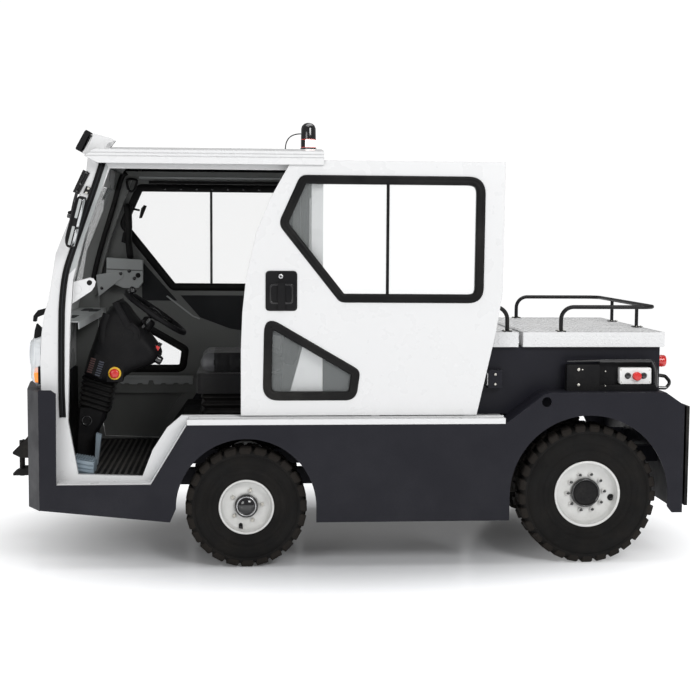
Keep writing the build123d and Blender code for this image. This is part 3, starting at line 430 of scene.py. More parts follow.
# --- mesh makers --------------------------------------------------------------
def new_object(name, mesh):
    """An object in the scene with the mesh that was built up for it, its faces turned outwards."""
    bmesh.ops.recalc_face_normals(mesh, faces=mesh.faces)
    data = bpy.data.meshes.new(name)
    mesh.to_mesh(data)
    mesh.free()
    obj = bpy.data.objects.new(name, data)
    scene.collection.objects.link(obj)
    return obj


class Shape:
    """A mesh being put together out of several solids, each with its own finish."""

    def __init__(self):
        self.mesh = bmesh.new()
        self.finishes = []

    def paint(self, faces, key, smooth):
        if key not in self.finishes:
            self.finishes.append(key)
        for face in faces:
            face.material_index = self.finishes.index(key)
            face.smooth = smooth

    def grid(self, rows, key, closed_rows=False, closed_cols=False, caps=False, smooth=True):
        """Skin rows of points, joined round where asked, with flat ends where asked."""
        made = [[self.mesh.verts.new(p) for p in row] for row in rows]
        faces = []
        row_count = len(made) if closed_rows else len(made) - 1
        for i in range(row_count):
            a, b = made[i], made[(i + 1) % len(made)]
            col_count = len(a) if closed_cols else len(a) - 1
            for j in range(col_count):
                k = (j + 1) % len(a)
                faces.append(self.mesh.faces.new((a[j], a[k], b[k], b[j])))
        if caps:
            faces.append(self.mesh.faces.new(made[0][::-1]))
            faces.append(self.mesh.faces.new(made[-1]))
        self.paint(faces, key, smooth)

    def lathe(self, profile, origin, axis, key, segments=48, smooth=True):
        """Turn (along, radius) points about an axis. Ends at radius 0 close to a point."""
        axis = Vector(axis).normalized()
        across = axis.orthogonal().normalized()
        other = axis.cross(across)
        origin = Vector(origin)
        rings = []
        for along, radius in profile:
            if radius < 1e-7:
                rings.append([self.mesh.verts.new(origin + axis * along)])
                continue
            ring = []
            for i in range(segments):
                a = 2 * math.pi * i / segments
                ring.append(self.mesh.verts.new(
                    origin + axis * along + (across * math.cos(a) + other * math.sin(a)) * radius))
            rings.append(ring)
        faces = []
        for low, high in zip(rings, rings[1:]):
            for i in range(segments):
                j = (i + 1) % segments
                corners = [low[i % len(low)], low[j % len(low)], high[j % len(high)], high[i % len(high)]]
                corners = list(dict.fromkeys(corners))
                if len(corners) > 2:
                    faces.append(self.mesh.faces.new(corners))
        self.paint(faces, key, smooth)

    def rod(self, start, end, radius, key, segments, chamfer=0.0):
        """A round bar with flat or chamfered ends."""
        long = (end - start).length
        c = chamfer
        profile = [(0, 0), (0, radius - c), (c, radius), (long - c, radius), (long, radius - c), (long, 0)]
        if not c:
            profile = [(0, 0), (0, radius), (long, radius), (long, 0)]
        self.lathe(profile, start, end - start, key, segments)

    def prism(self, outline, axis, low, high, key, smooth=False):
        """Extrude an outline of two-number points along X, Y or Z."""
        order = {"x": lambda a, b, t: (t, a, b), "y": lambda a, b, t: (a, t, b),
                 "z": lambda a, b, t: (a, b, t)}[axis]
        ends = [[self.mesh.verts.new(order(a, b, t)) for a, b in outline] for t in (low, high)]
        faces = [self.mesh.faces.new(ends[0][::-1]), self.mesh.faces.new(ends[1])]
        for i in range(len(outline)):
            j = (i + 1) % len(outline)
            faces.append(self.mesh.faces.new((ends[0][i], ends[0][j], ends[1][j], ends[1][i])))
        self.paint(faces, key, smooth)

    def block(self, low, high, key, turn=None):
        """A box between two corners, turned about its middle where asked."""
        low, high = Vector(low), Vector(high)
        made = [self.mesh.verts.new((x, y, z)) for x in (low.x, high.x) for y in (low.y, high.y)
                for z in (low.z, high.z)]
        if turn:
            center = (low + high) / 2
            for vert in made:
                vert.co = turn @ (vert.co - center) + center
        quads = ((0, 1, 3, 2), (4, 6, 7, 5), (0, 4, 5, 1), (2, 3, 7, 6), (0, 2, 6, 4), (1, 5, 7, 3))
        self.paint([self.mesh.faces.new([made[i] for i in quad]) for quad in quads], key, False)

    def tube(self, points, radius, key, segments=14):
        """A round tube along a smooth line through the points."""
        line = smooth_line(points)
        rings = []
        up = None
        for i, p in enumerate(line):
            ahead = (line[min(i + 1, len(line) - 1)] - line[max(i - 1, 0)]).normalized()
            up = ahead.orthogonal().normalized() if up is None else (up - ahead * up.dot(ahead)).normalized()
            other = ahead.cross(up)
            rings.append([p + (up * math.cos(a) + other * math.sin(a)) * radius
                          for a in (2 * math.pi * k / segments for k in range(segments))])
        self.grid(rings, key, closed_cols=True, caps=True)

    def place(self, name, body, slot, bevel=0.0, segments=2, replaces=(), subdivide=0, mirror=False):
        """Make the object, finish its edges, and let it ride on its body."""
        if mirror:
            for vert in self.mesh.verts:
                vert.co.y = -vert.co.y
        bmesh.ops.remove_doubles(self.mesh, verts=self.mesh.verts, dist=1e-6)
        obj = new_object(name, self.mesh)
        for key in self.finishes:
            obj.data.materials.append(m[key])
        if bevel:
            bevel_edges(obj, bevel, segments, math.radians(38))
        if subdivide:
            smooth_surface(obj, subdivide)
        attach(obj, body)
        if replaces:
            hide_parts(*replaces)
        return obj


def bevel_edges(obj, width, segments=1, sharper_than=math.radians(30)):
    """Round off the edges that are sharper than an angle."""
    edge = obj.modifiers.new("edge", "BEVEL")
    edge.width = width
    edge.segments = segments
    edge.limit_method = "ANGLE"
    edge.angle_limit = sharper_than
    bake(obj)


def smooth_surface(obj, steps):
    smooth = obj.modifiers.new("smooth", "SUBSURF")
    smooth.levels = smooth.render_levels = steps
    bake(obj)


def bake(obj):
    """Keep what the modifiers give as the object's plain mesh."""
    held = obj.evaluated_get(bpy.context.evaluated_depsgraph_get())
    data = bpy.data.meshes.new_from_object(held)
    obj.modifiers.clear()
    obj.data = data
    return obj


def smooth_line(points, resolution=6):
    """Points on a smooth line through the given ones."""
    points = [Vector(p) for p in points]
    if len(points) < 3:
        return points
    line = []
    for i in range(len(points) - 1):
        a, b = points[i], points[i + 1]
        before = points[i - 1] if i else a * 2 - b
        after = points[i + 2] if i + 2 < len(points) else b * 2 - a
        for k in range(resolution):
            t = k / resolution
            line.append(0.5 * ((2 * a) + (b - before) * t + (2 * before - 5 * a + 4 * b - after) * t * t
                               + (3 * a - before - 3 * b + after) * t ** 3))
    line.append(points[-1])
    return line


# --- geometry node trees for what repeats -------------------------------------
def geometry_tree(name, inputs):
    """A Geometry Nodes tree with named inputs; it ends in Realize Instances and Set Material."""
    tree = bpy.data.node_groups.new(name, "GeometryNodeTree")
    for label, kind in inputs + [("Finish", "Material")]:
        tree.interface.new_socket(label, in_out="INPUT", socket_type="NodeSocket" + kind)
    tree.interface.new_socket("Geometry", in_out="OUTPUT", socket_type="NodeSocketGeometry")
    enter = tree.nodes.new("NodeGroupInput")
    leave = tree.nodes.new("NodeGroupOutput")
    return tree, enter, leave


def lay_copies(tree, enter, leave, points, turn=None):
    """Copy the piece onto the points, make the copies real and give them their finish."""
    source = add(tree, "GeometryNodeObjectInfo", put={"Object": enter.outputs["Piece"]})
    put = {"Points": points, "Instance": source.outputs["Geometry"]}
    if turn:
        put["Rotation"] = turn
    copies = add(tree, "GeometryNodeInstanceOnPoints", put=put)
    solid = add(tree, "GeometryNodeRealizeInstances", put={0: copies.outputs[0]})
    coated = add(tree, "GeometryNodeSetMaterial", put={"Geometry": solid.outputs[0],
                                                       "Material": enter.outputs["Finish"]})
    wire(tree, coated.outputs[0], leave, 0)
    return tree


def scattered(tree, count, place):
    """As many points as counted, each at its own place."""
    points = add(tree, "GeometryNodeMeshLine", put={"Count": count, "Offset": (0, 0, 0)})
    return add(tree, "GeometryNodeSetPosition", put={"Geometry": points.outputs[0],
                                                     "Position": place}).outputs[0]


def make_ring_tree():
    """Copies of a piece round a wheel's axis, through a point and along Y."""
    tree, enter, leave = geometry_tree(
        "ring_of", [("Piece", "Object"), ("Count", "Int"), ("Center", "Vector"), ("Phase", "Float")])
    given = enter.outputs
    index = add(tree, "GeometryNodeInputIndex").outputs[0]
    share = reckon(tree, "DIVIDE", index, given["Count"])
    angle = reckon(tree, "ADD", reckon(tree, "MULTIPLY", share, 2 * math.pi), given["Phase"])
    turn = add(tree, "ShaderNodeCombineXYZ", put={"Y": angle})
    return lay_copies(tree, enter, leave, scattered(tree, given["Count"], given["Center"]), turn.outputs[0])


def make_row_tree():
    """Copies of a piece in a straight row, one step apart."""
    tree, enter, leave = geometry_tree(
        "row_of", [("Piece", "Object"), ("Count", "Int"), ("Start", "Vector"), ("Step", "Vector")])
    given = enter.outputs
    points = add(tree, "GeometryNodeMeshLine",
                 put={"Count": given["Count"], "Start Location": given["Start"], "Offset": given["Step"]})
    return lay_copies(tree, enter, leave, points.outputs[0])


def make_field_tree():
    """A field of copies on a level plane, every second one turned crosswise, as on tread plate."""
    tree, enter, leave = geometry_tree(
        "field_of", [("Piece", "Object"), ("Low", "Vector"), ("Pitch", "Float"), ("Rows", "Int"),
                     ("Columns", "Int"), ("Turn A", "Float"), ("Turn B", "Float")])
    given = enter.outputs
    index = add(tree, "GeometryNodeInputIndex").outputs[0]
    column = reckon(tree, "MODULO", index, given["Columns"])
    row = add(tree, "ShaderNodeMath", operation="FLOOR",
              put={0: reckon(tree, "DIVIDE", index, given["Columns"])}).outputs[0]
    cell = add(tree, "ShaderNodeCombineXYZ", put={"X": column, "Y": row})
    spaced = add(tree, "ShaderNodeVectorMath", operation="SCALE",
                 put={0: cell.outputs[0], "Scale": given["Pitch"]})
    placed = add(tree, "ShaderNodeVectorMath", operation="ADD", put={0: spaced.outputs[0], 1: given["Low"]})
    odd = reckon(tree, "MODULO", reckon(tree, "ADD", column, row), 2.0)
    angle = stretch(tree, odd, to_low=given["Turn A"], to_high=given["Turn B"])
    turn = add(tree, "ShaderNodeCombineXYZ", put={"Z": angle})
    count = reckon(tree, "MULTIPLY", given["Rows"], given["Columns"])
    return lay_copies(tree, enter, leave, scattered(tree, count, placed.outputs[0]), turn.outputs[0])


ring_of, row_of, field_of = make_ring_tree(), make_row_tree(), make_field_tree()


def repeat(tree, name, source, key, **values):
    """Run a repeat tree on a source piece and return the plain mesh that it makes."""
    obj = bpy.data.objects.new(name, bpy.data.meshes.new(name))
    scene.collection.objects.link(obj)
    run = obj.modifiers.new("repeat", "NODES")
    run.node_group = tree
    values["Piece"] = source
    values["Finish"] = m[key]
    for item in tree.interface.items_tree:
        if item.item_type == "SOCKET" and item.in_out == "INPUT":
            run[item.identifier] = values[item.name.replace(" ", "_")]
    return bake(obj)


def source_piece(shape, name, bevel=0.0):
    """A piece at the origin for a repeat tree to copy; it is taken away afterwards."""
    obj = new_object(name, shape.mesh)
    if bevel:
        bevel_edges(obj, bevel)
    return obj


def join(name, parts, body, replaces=()):
    """Join plain meshes into one piece that rides on a body."""
    keep = parts[0]
    with bpy.context.temp_override(active_object=keep, object=keep, selected_objects=parts,
                                   selected_editable_objects=parts):
        bpy.ops.object.join()
    keep.name = name
    keep.data.name = name
    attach(keep, body)
    if replaces:
        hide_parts(*replaces)
    return keep


def drop(*objs):
    for obj in objs:
        bpy.data.objects.remove(obj)


# --- tyres --------------------------------------------------------------------
groove_depth = 0.014            # how deep the grooves between the lugs are
sidewall_ticks = 110            # moulded ticks round a sidewall


def make_tyre(name, center, half, bead, flange, lugs, lug_share, body, left):
    """Carcass with ribbed sidewalls, and two rows of chunky lugs that wrap over the shoulders."""
    radius = center.z
    base = radius - groove_depth
    wall = [(half - 0.0155, bead), (half - 0.0155, flange + 0.003), (half - 0.0130, flange + 0.010),
            (half - 0.0118, flange + 0.020), (half - 0.0105, flange + 0.030), (half - 0.0042, flange + 0.036),
            (half - 0.0034, flange + 0.050), (half - 0.0062, flange + 0.054),
            (half - 0.0060, flange + 0.058), (half - 0.0015, flange + 0.062),
            (half - 0.0003, (flange + radius + 0.012) / 2), (half - 0.0012, radius - 0.0500),
            (half - 0.0056, radius - 0.0472), (half - 0.0056, radius - 0.0435),
            (half - 0.0016, radius - 0.0405), (half - 0.0034, radius - 0.034),
            (half - 0.0070, radius - 0.028), (half - 0.015, radius - 0.020), (half - 0.030, base)]
    profile = [(-a, r) for a, r in wall] + [(a, r) for a, r in wall[::-1]]
    carcass = Shape()
    carcass.lathe(profile + profile[:1], center, LEFT, "tyre", 96)
    main = source_piece(carcass, name + "_carcass")
    main.data.materials.append(m["tyre"])
    pitch = 2 * math.pi / lugs
    lug = Shape()
    # across the tyre, radius of the lug's top, radius of its foot, its share of the pitch
    stations = [(0.004, radius, base - 0.002, lug_share * 0.68),
                (half * 0.42, radius, base - 0.002, lug_share * 0.78),
                (half - 0.020, radius - 0.0005, base - 0.003, lug_share),
                (half - 0.0095, radius - 0.005, base - 0.010, lug_share),
                (half - 0.0040, radius - 0.017, base - 0.020, lug_share * 0.97),
                (half - 0.0030, radius - 0.033, base - 0.030, lug_share * 0.90)]
    rings = []
    for across, top, foot, share in stations:
        skew = 0.20 * pitch * (across / half - 0.5)
        w = share * pitch / 2
        ring = []
        for r, a in ((top, -w * 0.90), (top, w * 0.90), (foot, w * 1.08), (foot, -w * 1.08)):
            sunk = 0.010 if r == foot and across > half - 0.005 else 0.0
            ring.append((r * math.sin(a + skew), across - sunk, r * math.cos(a + skew)))
        rings.append(ring)
    lug.grid(rings, "tyre", closed_cols=True, caps=True, smooth=False)
    outer = source_piece(lug, name + "_lug", bevel=0.0022)
    inner = outer.copy()
    inner.data = outer.data.copy()
    inner.data.transform(Matrix.Diagonal((1, -1, 1, 1)))
    inner.data.flip_normals()
    scene.collection.objects.link(inner)
    knurl = Shape()
    knurl.block((-0.0012, half - 0.004, (flange + radius) / 2 - 0.010),
                (0.0012, half + 0.0004, (flange + radius) / 2 - 0.002), "tyre")
    tick = source_piece(knurl, name + "_tick")
    parts = [main,
             repeat(ring_of, name + "_a", outer, "tread", Count=lugs, Center=center, Phase=math.pi),
             repeat(ring_of, name + "_b", inner, "tread", Count=lugs, Center=center,
                    Phase=math.pi + pitch / 2),
             repeat(ring_of, name + "_c", tick, "tyre", Count=sidewall_ticks, Center=center, Phase=0.0)]
    drop(outer, inner, tick)
    obj = join(name, parts, body, replaces=(name.replace("treaded_", ""),))
    if not left:
        aside = Matrix.Translation((0, center.y, 0))
        obj.data.transform(aside @ Matrix.Diagonal((1, -1, 1, 1)) @ aside.inverted())
        obj.data.flip_normals()


# wheel end: axle x, tread radius, flange radius, bead radius, number of lugs, a lug's share of the pitch
tyres = {
    "front": (front_axle, front_r, 0.133, 0.122, 24, 0.80),
    "rear": (rear_axle, rear_r, 0.163, 0.150, 29, 0.72),
}
for end, (x, radius, flange, bead, lugs, lug_share) in tyres.items():
    for hand, sign in SIDES:
        low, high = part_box(f"tyre_{end}_{hand}")
        make_tyre(f"treaded_tyre_{end}_{hand}", Vector((x, (low.y + high.y) / 2, radius)),
                  (high.y - low.y) / 2, bead, flange, lugs, lug_share, f"wheel_{end}_{hand}", sign > 0)


# --- finishes on the model's own pieces ---------------------------------------
slot_finish = {
    "white_paint": "white", "dark_paint": "dark", "black_paint": "black", "axle_paint": "chassis",
    "rim_paint": "rim", "tyre": "tyre", "rubber": "rubber", "glass": "pane", "black_plastic": "plastic",
    "grey_floor": "mat", "seat_vinyl": "vinyl", "battery_case": "plastic", "cast": "cast",
    "coupling_steel": "cast", "lamp_lens": "lens", "red_lens": "red_lens", "beacon_cap": "gloss",
    "control_white": "switch_white", "pedal_rubber": "blue_grey",
}
for obj in nodes.values():
    for held in obj.material_slots:
        held.material = m[slot_finish[held.material.name.split(".")[0]]]


def paint(node, key, chosen):
    """Give some of a node's faces another finish, chosen by their middle and the way they face."""
    data = nodes[node].data
    data.materials.append(m[key])
    index = len(data.materials) - 1
    for face in data.polygons:
        if chosen(face.center, face.normal):
            face.material_index = index


# painted shade: the inward faces of the cab sides, doors and rear wall, and the far sill, take the darker
# inner grey; the front cowl's inside stays white
paint("cab_sides", "inner", lambda c, n: c.x > cab_rear and abs(c.y) < cab_in + 0.001 and n.y * c.y < 0)
paint("cab_sides", "inner", lambda c, n: c.y < 0 and n.y > 0.5 and c.z < 0.86)
for hand, sign in SIDES:
    paint(f"door_{hand}", "inner", lambda c, n: n.y * c.y < 0 and abs(n.y) > 0.5)
# the roof's underside and inward faces go near black: a dark lining with painted shade under the roof
paint("roof", "liner", lambda c, n: abs(c.y) < 0.694 and c.z < 2.02 and (n.z < -0.2 or n.y * c.y < 0))
paint("rear_wall", "inner", lambda c, n: n.x > 0.5)
paint("front_cowl", "white", lambda c, n: n.x < -0.5)
paint("floor_pan", "plastic", lambda c, n: c.x > 1.40 and c.z > 0.44)
paint("cab_sides", "inner", lambda c, n: -0.735 < c.y < -0.55 and n.z > 0.5 and c.z > 0.7)
# painted shade: the step frames' slanted faces that look forward and up take the blue grey
paint("cab_sides", "step_grey",
      lambda c, n: 0.645 < abs(c.y) < 0.725 and n.x > 0.3 and n.z > 0.2 and c.z < 0.70)
paint("rear_body", "gloss", lambda c, n: c.x < rear_axle - 0.386)

# --- wheels -------------------------------------------------------------------
# wheel end: half width of the bead seats, how far out the disc stands, wheel bolts, bolt circle,
# hub ring radius, cap radius, how far the bolts are turned from an even start
rims = {
    "front": (0.070, 0.030, 5, 0.076, 0.056, 0.040, 0.244),
    "rear": (0.082, 0.034, 10, 0.091, 0.071, 0.057, -0.201),
}
for end, (seat, disc, bolts, bolt_r, hub_r, cap_r, bolt_turn) in rims.items():
    x, radius, flange, bead = tyres[end][:4]
    at_front = end == "front"
    for hand, sign in SIDES:
        low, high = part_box(f"tyre_{end}_{hand}")
        hub_at = Vector((x, (low.y + high.y) / 2, radius))
        out = Vector((0, sign, 0))
        wheel = Shape()
        wall = bead - 0.002
        face = [(-seat, bead - 0.006), (-seat - 0.003, bead - 0.003), (-seat - 0.006, flange - 0.004),
                (-seat - 0.004, flange), (-seat - 0.001, flange - 0.003), (-seat, bead), (seat, bead),
                (seat + 0.001, flange - 0.003), (seat + 0.003, flange), (seat + 0.006, flange - 0.001),
                (seat + 0.0075, flange - 0.005), (seat + 0.004, wall + 0.003), (seat - 0.006, wall),
                (disc + 0.012, wall - 0.001), (disc + 0.004, wall - 0.004), (disc + 0.0008, wall - 0.010),
                (disc, hub_r + 0.034), (disc + 0.001, hub_r + 0.008),
                (disc + 0.001, hub_r - 0.004), (disc - 0.006, hub_r - 0.004), (disc - 0.006, wall - 0.014),
                (disc - 0.002, wall - 0.007), (0.0, wall - 0.004), (-seat + 0.004, bead - 0.008)]
        wheel.lathe(face + face[:1], hub_at, out, "rim", 72)
        wheel.lathe([(disc - 0.012, 0), (disc - 0.012, hub_r), (disc + 0.020, hub_r),
                     (disc + 0.026, hub_r - 0.004), (disc + 0.026, hub_r - 0.008),
                     (disc + 0.016, cap_r + 0.003), (disc + 0.016, 0)], hub_at, out, "gloss", 48)
        if at_front:
            wheel.lathe([(disc + 0.018, cap_r + 0.002), (disc + 0.027, cap_r + 0.003),
                         (disc + 0.0285, cap_r + 0.005), (disc + 0.027, cap_r + 0.0075),
                         (disc + 0.018, cap_r + 0.008)], hub_at, out, "steel", 48)
        dome = 0.012 if at_front else 0.002
        wheel.lathe([(disc + 0.014, 0), (disc + 0.014, cap_r + 0.003), (disc + 0.022, cap_r + 0.003),
                     (disc + 0.025, cap_r), (disc + 0.025 + dome * 0.6, cap_r * 0.75),
                     (disc + 0.025 + dome, cap_r * 0.4), (disc + 0.025 + dome, 0)], hub_at, out,
                    "gloss" if at_front else "plastic", 40)
        for i in range(bolts):
            a = 2 * math.pi * (i + 0.25) / bolts + bolt_turn
            spot = hub_at + Vector((math.cos(a), 0, math.sin(a))) * bolt_r
            wheel.lathe([(disc - 0.002, 0.012), (disc + 0.0035, 0.0115), (disc + 0.004, 0)],
                        spot, out, "rim", 20)
            wheel.lathe([(disc + 0.003, 0.0095), (disc + 0.014, 0.0092), (disc + 0.0155, 0.0078),
                         (disc + 0.0155, 0.0052)], spot, out, "zinc" if at_front else "rim", 6, smooth=False)
            stud = spot + (Vector() if at_front else Vector((-0.0055 * sign, 0, 0.002)))
            reach = 0.0046 if at_front else 0.0070
            wheel.lathe([(disc + 0.0145, reach), (disc + 0.019, reach - 0.0004), (disc + 0.019, 0)],
                        stud, out, "zinc" if at_front else "gloss", 14)
        vent = hub_at + Vector((0.027 * sign, 0, -0.099) if at_front else (-0.130 * sign, 0, -0.027))
        if at_front:
            slot_line = [(vent.x + w * 0.0095, vent.z + h * 0.001) for w, h in
                         ((-1, -16), (1, -16), (1, 6), (0.7, 11), (0, 14), (-0.7, 11), (-1, 6))]
            skin = hub_at.y + sign * (disc + 0.0025)
            wheel.prism(slot_line, "y", skin - 0.003, skin + 0.002, "rubber")
        else:
            wheel.lathe([(disc + 0.001, 0.0165), (disc + 0.0048, 0.0160), (disc + 0.0050, 0.0145),
                         (disc + 0.0046, 0)], vent, out, "rubber", 28)
        wheel.rod(vent + out * disc, vent + out * (disc + 0.020) + Vector((0, 0, -0.004)), 0.004, "gloss", 12,
                  chamfer=0.001)
        wheel.place(f"dished_rim_{end}_{hand}", f"wheel_{end}_{hand}", "rim_paint",
                    replaces=(f"rim_{end}_{hand}",))

# --- tread plate on the deck covers -------------------------------------------
bump = Shape()
rows = []
for t, h, w in ((-1, 0, 0.0003), (-0.5, 0.0011, 0.0026), (0, 0.0015, 0.0034), (0.5, 0.0011, 0.0026),
                (1, 0, 0.0003)):
    rows.append([(t * 0.012, -w, -0.0004), (t * 0.012, -w * 0.45, h), (t * 0.012, w * 0.45, h),
                 (t * 0.012, w, -0.0004)])
bump.grid(rows, "white", smooth=True)
bump_piece = source_piece(bump, "tread_bump")
quarter = math.radians(45)
top_pitch, side_pitch, side_rows = 0.0265, 0.0185, 3
# cover: its body, and how far the top's pattern stays off its rear and front edges
deck_covers = {"front_deck": ("body", 0.034, 0.020), "rear_deck": ("rear_deck", 0.026, 0.052)}
for node, (body, rear_margin, front_margin) in deck_covers.items():
    low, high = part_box(node)
    x_low, x_high = low.x + rear_margin, high.x - front_margin
    columns = int((x_high - x_low) / top_pitch) + 1
    rows = int((high.y - low.y - 0.05) / top_pitch) + 1
    start = Vector(((x_low + x_high - (columns - 1) * top_pitch) / 2, -(rows - 1) * top_pitch / 2, deck_z))
    sheets = [repeat(field_of, f"tread_plate_{node}", bump_piece, "white", Low=start, Pitch=top_pitch,
                     Rows=rows, Columns=columns, Turn_A=quarter, Turn_B=-quarter)]
    columns = int((high.x - low.x - 0.05) / side_pitch) - (1 if node == "rear_deck" else 0)
    start = Vector((low.x + 0.022, -(side_rows - 1) * side_pitch / 2, 0))
    for hand, sign in SIDES:
        strip = repeat(field_of, f"side_tread_{node}_{hand}", bump_piece, "white", Low=start,
                       Pitch=side_pitch, Rows=side_rows, Columns=columns, Turn_A=quarter, Turn_B=-quarter)
        strip.data.transform(Matrix.Translation((0, sign * high.y, (skirt_z + deck_z) / 2))
                             @ Matrix.Rotation(math.radians(-90 * sign), 4, "X"))
        sheets.append(strip)
    pattern = join(f"tread_plate_{node}", sheets, body)
    for face in pattern.data.polygons:
        face.use_smooth = True
drop(bump_piece)


# rail: its body, and where its four feet stand
front_low, front_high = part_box("front_deck_rails")
rear_low, rear_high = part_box("rear_deck_rail")
foot_in = 0.022
rail_feet = {
    "rail_foot_screws": ("body", [(x, y) for x in (front_low.x + foot_in, front_high.x - foot_in)
                                  for y in (0.55, -0.55)]),
    "lid_rail_foot_screws": ("rear_deck", [(rear_high.x - foot_in, y) for y in (0.55, -0.55)]
                             + [(rear_low.x + 0.010, y) for y in (0.235, -0.235)]),
}
for name, (body, feet) in rail_feet.items():
    heads = Shape()
    for x, y in feet:
        for dx, dy in ((-0.015, -0.015), (-0.015, 0.015), (0.015, -0.015), (0.015, 0.015)):
            heads.lathe([(-0.0015, 0.0035), (0.0014, 0.0035), (0.0032, 0.00252), (0.004, 0.00147),
                         (0.0022, 0.0014), (0.0022, 0)], (x + dx, y + dy, deck_z + 0.0045), UP, "zinc", 14)
    heads.place(name, body, "black_paint")

# --- steering wheel -----------------------------------------------------------
hub = Vector((front_axle + 0.462, driver_y, 1.195))
tilt = math.radians(35)
axis_up = Vector((-math.sin(tilt), 0, math.cos(tilt)))
ahead = Vector((math.cos(tilt), 0, math.sin(tilt)))
grip_r = 0.176                  # radius of the rim's middle line
grip = Shape()
ring = []
for i in range(72):
    a = 2 * math.pi * i / 72
    radial = Vector(LEFT) * math.cos(a) + ahead * math.sin(a)
    fat = 0.0135 + 0.0006 * math.cos(24 * a)
    ring.append([hub + radial * grip_r + (radial * math.cos(b) + axis_up * math.sin(b)) * fat
                 for b in (2 * math.pi * k / 14 for k in range(14))])
grip.grid(ring, "plastic", closed_rows=True, closed_cols=True)
grip.lathe([(-0.030, 0), (-0.030, 0.034), (-0.022, 0.040), (0.004, 0.042), (0.010, 0.037), (0.012, 0.024),
            (0.0135, 0.022), (0.0135, 0)], hub, axis_up, "plastic", 40)
grip.lathe([(0.0125, 0.021), (0.0150, 0.019), (0.0155, 0)], hub, axis_up, "gloss", 32)
third = 2 * math.pi / 3
for a in (math.pi / 2, math.pi / 2 + third, math.pi / 2 - third):
    radial = Vector(LEFT) * math.cos(a) + ahead * math.sin(a)
    across = axis_up.cross(radial)
    rows = []
    for t, w, h, lift in ((0.030, 0.016, 0.0062, -0.003), (0.070, 0.0115, 0.005, -0.002),
                          (0.120, 0.0095, 0.0044, -0.001), (0.155, 0.012, 0.0046, 0.0),
                          (0.170, 0.015, 0.0046, 0.0)):
        c = hub + radial * t + axis_up * lift
        rows.append([c + across * (w * math.cos(b)) + axis_up * (h * math.sin(b))
                     for b in (2 * math.pi * k / 12 for k in range(12))])
    grip.grid(rows, "plastic", closed_cols=True, caps=True)
knob = hub + Vector((math.cos(tilt), 0.55, math.sin(tilt))).normalized() * grip_r
grip.lathe([(0.004, 0), (0.004, 0.009), (0.018, 0.008), (0.022, 0.015), (0.030, 0.0195), (0.042, 0.0195),
            (0.049, 0.015), (0.052, 0.006), (0.052, 0)], knob, axis_up, "gloss", 28)
grip.place("moulded_steering_wheel", "steering_wheel", "black_plastic", replaces=("steering_wheel",))

# --- outlines and ribbons -----------------------------------------------------
def side_line(points):
    """Millimetre points counted from the front axle, as (x, z) pairs in the model."""
    return [(front_axle + x * MM, z * MM) for x, z in points]


def plate(shape, points, y_low, y_high, key):
    """A flat plate that faces sideways, its outline in millimetres from the front axle."""
    shape.prism(side_line(points), "y", *sorted((y_low * MM, y_high * MM)), key)


def line_at(y, points):
    """Millimetre points counted from the front axle, as places at one distance to the side."""
    return [from_front(x, z, y) for x, z in points]


def ribbon(shape, line, profile, key, closed=False):
    """Sweep an (across, outward) profile along a line of places that lies in a side plane."""
    rows = []
    for i, p in enumerate(line):
        before = line[i - 1] if i or closed else line[0]
        after = line[(i + 1) % len(line)] if i + 1 < len(line) or closed else line[-1]
        ahead = (after - before).normalized()
        across = Vector((ahead.z, 0, -ahead.x))
        rows.append([p + across * w + Vector((0, h, 0)) for w, h in profile])
    shape.grid(rows, key, closed_rows=closed, closed_cols=True, caps=not closed)


def rounded(points, radii, steps=6):
    """Round off the corners of a closed outline of pairs."""
    line = []
    count = len(points)
    for i, (x, z) in enumerate(points):
        here = Vector((x, z))
        back = (Vector(points[i - 1]) - here).normalized()
        on = (Vector(points[(i + 1) % count]) - here).normalized()
        reach = radii[i] / math.tan(back.angle(on) / 2)
        start, end = here + back * reach, here + on * reach
        for k in range(steps + 1):
            t = k / steps
            line.append(tuple(start * (1 - t) ** 2 + here * 2 * t * (1 - t) + end * t * t))
    return line


def panel(x_low, x_high, z_low, z_high, radius, steps=6):
    """The outline of a rectangle with four equal round corners."""
    return rounded([(x_low, z_low), (x_high, z_low), (x_high, z_high), (x_low, z_high)], [radius] * 4, steps)


def tilted(center, out, up_way, depth, outline):
    """An outline of (sideways, upward) pairs set on a tilted face."""
    return [center + out * depth + Vector((0, a, 0)) + up_way * b for a, b in outline]


# --- dash pod -----------------------------------------------------------------
pod_line = [(637, 1263), (679, 1231), (714, 1186), (740, 1137), (753, 1088), (774, 1032), (795, 976),
            (809, 920), (827, 871), (658, 825), (627, 856), (578, 905), (481, 926), (439, 961),
            (426, 986), (445, 1032), (480, 1074), (507, 1116), (535, 1151), (576, 1193), (589, 1221),
            (617, 1252)]
pod_mid = Vector((620, 1035))
pod_skin = Shape()
rows = []
pod_low, pod_high = 0.040, 0.330
for y, inset in ((pod_low, 60), (pod_low + 0.004, 34), (pod_low + 0.014, 14), (pod_low + 0.034, 2),
                 (pod_low + 0.06, 0), (pod_high - 0.075, 0), (pod_high - 0.045, 5), (pod_high - 0.022, 17),
                 (pod_high - 0.008, 34), (pod_high - 0.001, 58), (pod_high, 90)):
    row = []
    for x, z in pod_line:
        out = Vector((x, z)) - pod_mid
        at = pod_mid + out * (1 - inset / max(out.length, 150))
        row.append(from_front(at.x, at.y, y / MM))
    rows.append(row)
pod_skin.grid(rows, "plastic", closed_cols=True, caps=True)
pod_skin.place("dash_pod_shell", "body", "black_plastic", subdivide=1, replaces=("dash_pod",))

